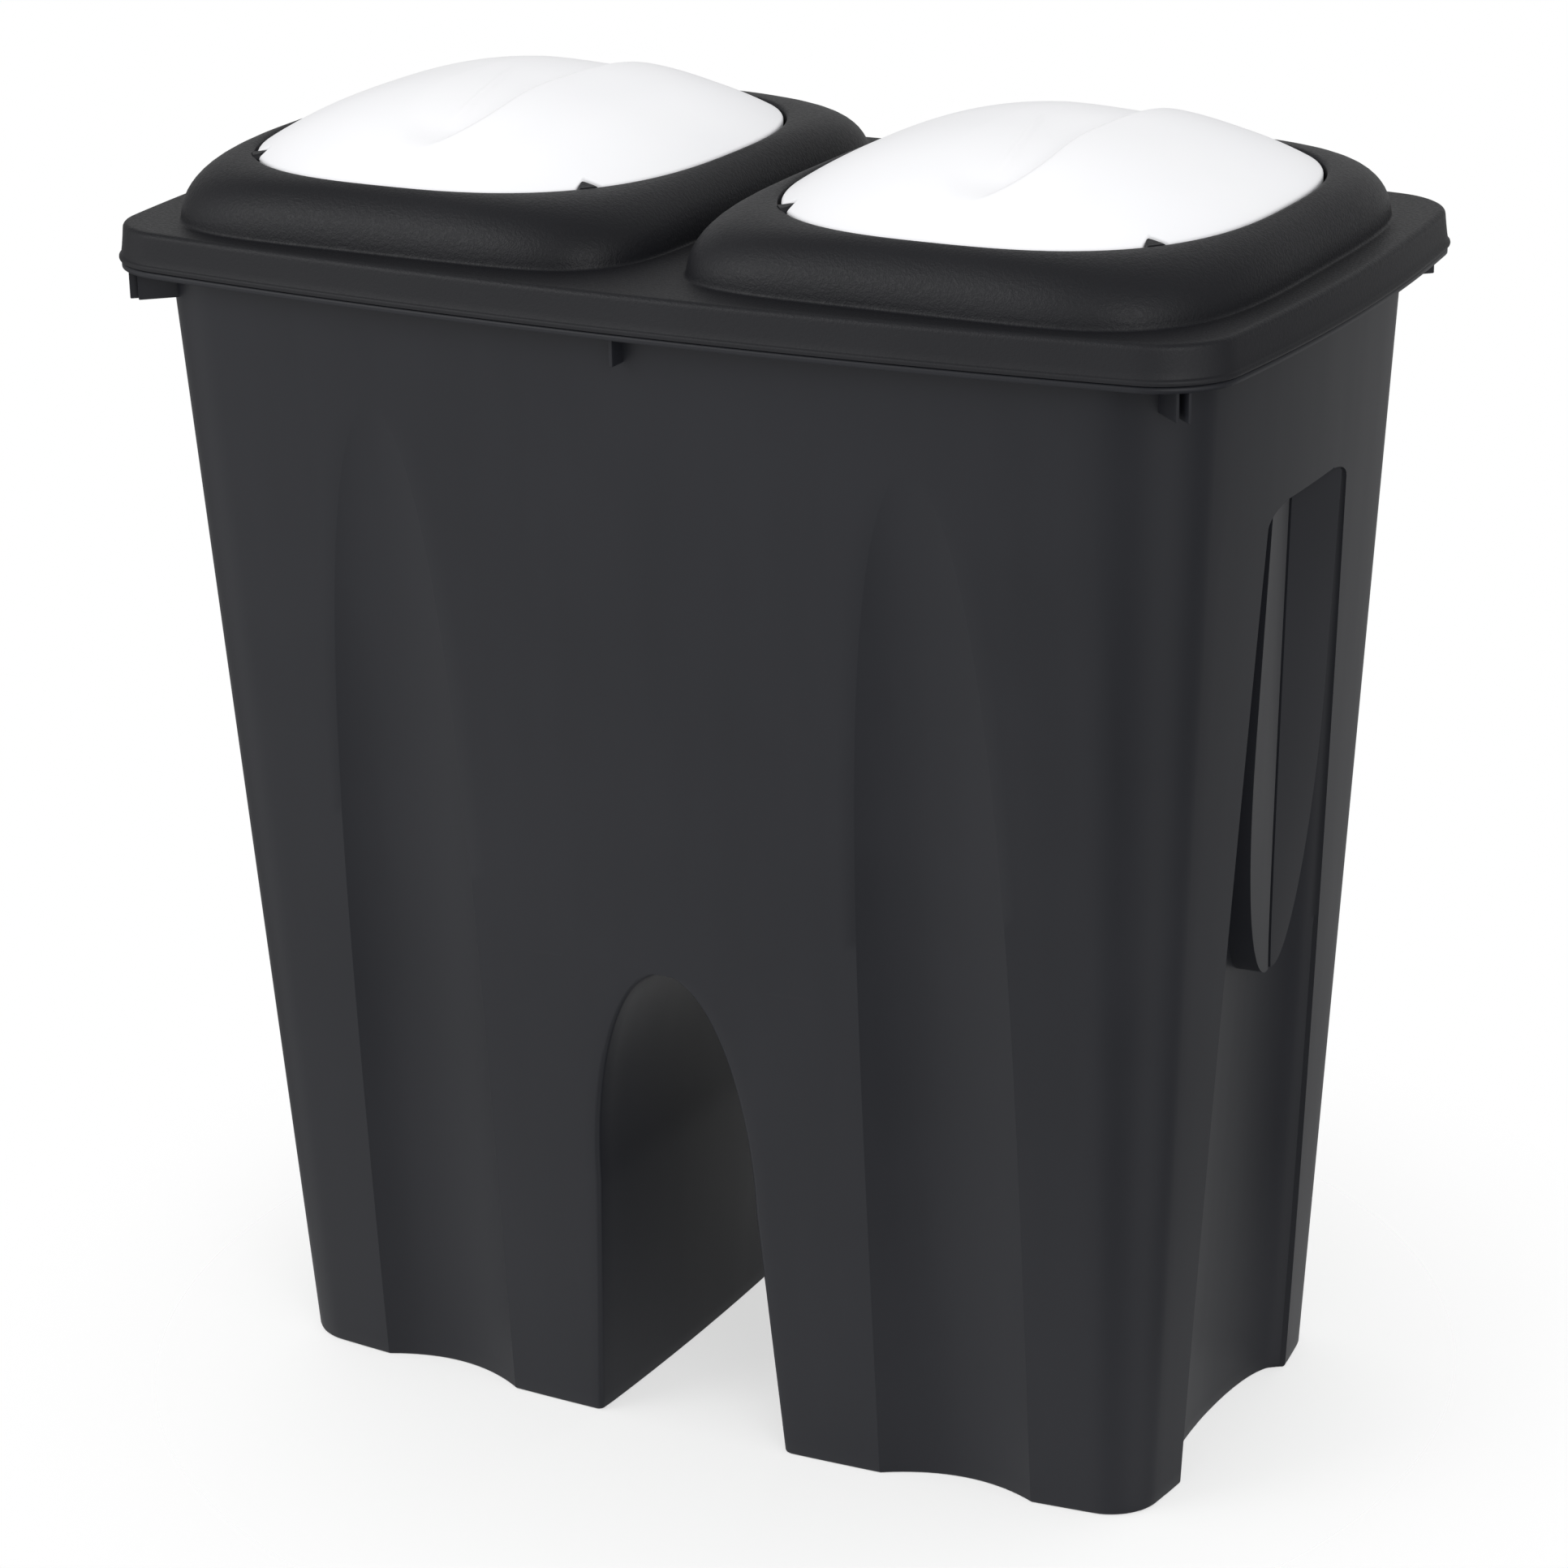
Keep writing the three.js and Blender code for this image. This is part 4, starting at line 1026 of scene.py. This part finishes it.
# %% [markdown]
# ## Floor, light and camera
#
# The bin stands on a pale floor in front of white. Soft lamps stand at the left front and, weaker, at the
# right front. The plastic is dark, so most of what shows on it is what it reflects, and the surroundings
# are therefore brighter at the left and right front than elsewhere.

# %% Floor and surroundings
FLOOR_HALF = 3.0


def pale_floor():
    """A square sheet that fades out, so that the white surroundings show through it and beyond it."""
    corners = [(x * FLOOR_HALF, y * FLOOR_HALF, 0) for x, y in ((-1, -1), (1, -1), (1, 1), (-1, 1))]
    mesh = bpy.data.meshes.new("floor")
    mesh.from_pydata(corners, [], [(0, 1, 2, 3)])
    floor = bpy.data.objects.new("floor", mesh)
    bpy.context.scene.collection.objects.link(floor)
    material, tree, shader, place = new_material("pale floor")
    shader.inputs["Base Color"].default_value = (0.97, 0.97, 0.97, 1)
    shader.inputs["Roughness"].default_value = 0.9
    shader.inputs["Specular IOR Level"].default_value = 0.1
    distance = place.node("ShaderNodeVectorMath", {"operation": "LENGTH"}, {0: place}, output="Value")
    connect(tree, shader, Alpha=0.4 - 0.4 * distance.step(0.2, 0.45))
    mesh.materials.append(material)


def room_to_reflect(direction):
    """Brightness by direction: even, more from the rear left, and most from the left and right front."""
    split = direction.node("ShaderNodeSeparateXYZ", None, {0: direction}, output="X")
    x, y, z = (Term(direction.tree, split.socket.node.outputs[axis]) for axis in "XYZ")
    front = (0.0 - y).step(-0.3, 0.3) * (1.0 - 0.5 * z.step(0.2, 0.9))
    rear = y.step(0.3, 0.8) * (1.0 - x.step(0.2, 0.62))
    left_and_right = (0.0 - x).step(-0.3, 0.4) * 0.62 + x.step(0.5, 0.85) * 0.75
    return 0.14 + rear * 0.42 + front * left_and_right


def white_surroundings():
    """The world: white to the camera, a room to reflections, and an even soft light to the rest."""
    world = bpy.data.worlds.new("white surroundings")
    bpy.context.scene.world = world
    world.use_nodes = True
    tree = world.node_tree
    tree.nodes.clear()
    path = tree.nodes.new("ShaderNodeLightPath")
    seen = Term(tree, path.outputs["Is Camera Ray"]) + Term(tree, path.outputs["Is Transmission Ray"])
    glossy = Term(tree, path.outputs["Is Glossy Ray"])
    coordinates = tree.nodes.new("ShaderNodeTexCoord")
    reflected = room_to_reflect(Term(tree, coordinates.outputs["Generated"]))
    shown = seen.step(0.0, 1.0)
    diffuse = (1 - shown) * (1 - glossy) * 0.95
    strength = shown + (1 - shown) * glossy * reflected + diffuse
    background = tree.nodes.new("ShaderNodeBackground")
    background.inputs["Color"].default_value = (1, 1, 1, 1)
    tree.links.new(strength.socket, background.inputs["Strength"])
    output = tree.nodes.new("ShaderNodeOutputWorld")
    tree.links.new(background.outputs["Background"], output.inputs["Surface"])


pale_floor()
white_surroundings()

# %% Lamps


def place_facing(thing, right, up, back, place):
    """Sets an object's axes and place: X to the right, Y up and Z back, away from what it looks at."""
    rows = [[right[axis], up[axis], back[axis], place[axis]] for axis in range(3)]
    thing.matrix_world = Matrix(rows + [[0, 0, 0, 1]])


def lamp(name, place, target, size, power):
    """A square soft lamp at a place, turned towards a target; sizes in metres, power in watts."""
    data = bpy.data.lights.new(name, "AREA")
    data.shape = "SQUARE"
    data.size = size
    data.energy = power
    made = bpy.data.objects.new(name, data)
    bpy.context.scene.collection.objects.link(made)
    aim = np.array(target) - np.array(place)
    back = -aim / np.linalg.norm(aim)
    right = np.cross((0, 0, 1), back)
    right /= np.linalg.norm(right)
    place_facing(made, right, np.cross(back, right), back, place)


MIDDLE_OF_BIN = (0, 0, 0.3)
lamp("key lamp, left front", (-1.7, -2.1, 2.0), MIDDLE_OF_BIN, 1.5, 23)
lamp("fill lamp, right front", (1.9, -2.0, 1.5), MIDDLE_OF_BIN, 1.2, 18)

# %% Camera at the photograph's angle
CAMERA_PLACE = (0.89552, -1.67447, 0.96399)
YAW, PITCH, ROLL = np.radians(26.71), np.radians(20.24), np.radians(-0.68)
FOCAL_PIXELS, IMAGE_PIXELS = 5567.3, 1932.0
CENTRE_PIXELS = (144.39, 20.21)
SENSOR_WIDTH = 36.0


def photograph_camera():
    """A camera turned left by the yaw, down by the pitch and round by the roll; its frame is shifted."""
    ahead = np.array([-np.sin(YAW) * np.cos(PITCH), np.cos(YAW) * np.cos(PITCH), -np.sin(PITCH)])
    level = np.array([np.cos(YAW), np.sin(YAW), 0.0])
    upright = np.cross(level, ahead)
    right = np.cos(ROLL) * level + np.sin(ROLL) * upright
    up = -np.sin(ROLL) * level + np.cos(ROLL) * upright
    data = bpy.data.cameras.new("camera")
    data.sensor_width = SENSOR_WIDTH
    data.lens = SENSOR_WIDTH * FOCAL_PIXELS / IMAGE_PIXELS
    data.shift_x = -CENTRE_PIXELS[0] / IMAGE_PIXELS
    data.shift_y = CENTRE_PIXELS[1] / IMAGE_PIXELS
    camera = bpy.data.objects.new("camera", data)
    bpy.context.scene.collection.objects.link(camera)
    place_facing(camera, right, up, -ahead, CAMERA_PLACE)
    return camera


bpy.context.scene.camera = photograph_camera()
bpy.context.scene.view_settings.view_transform = "Standard"
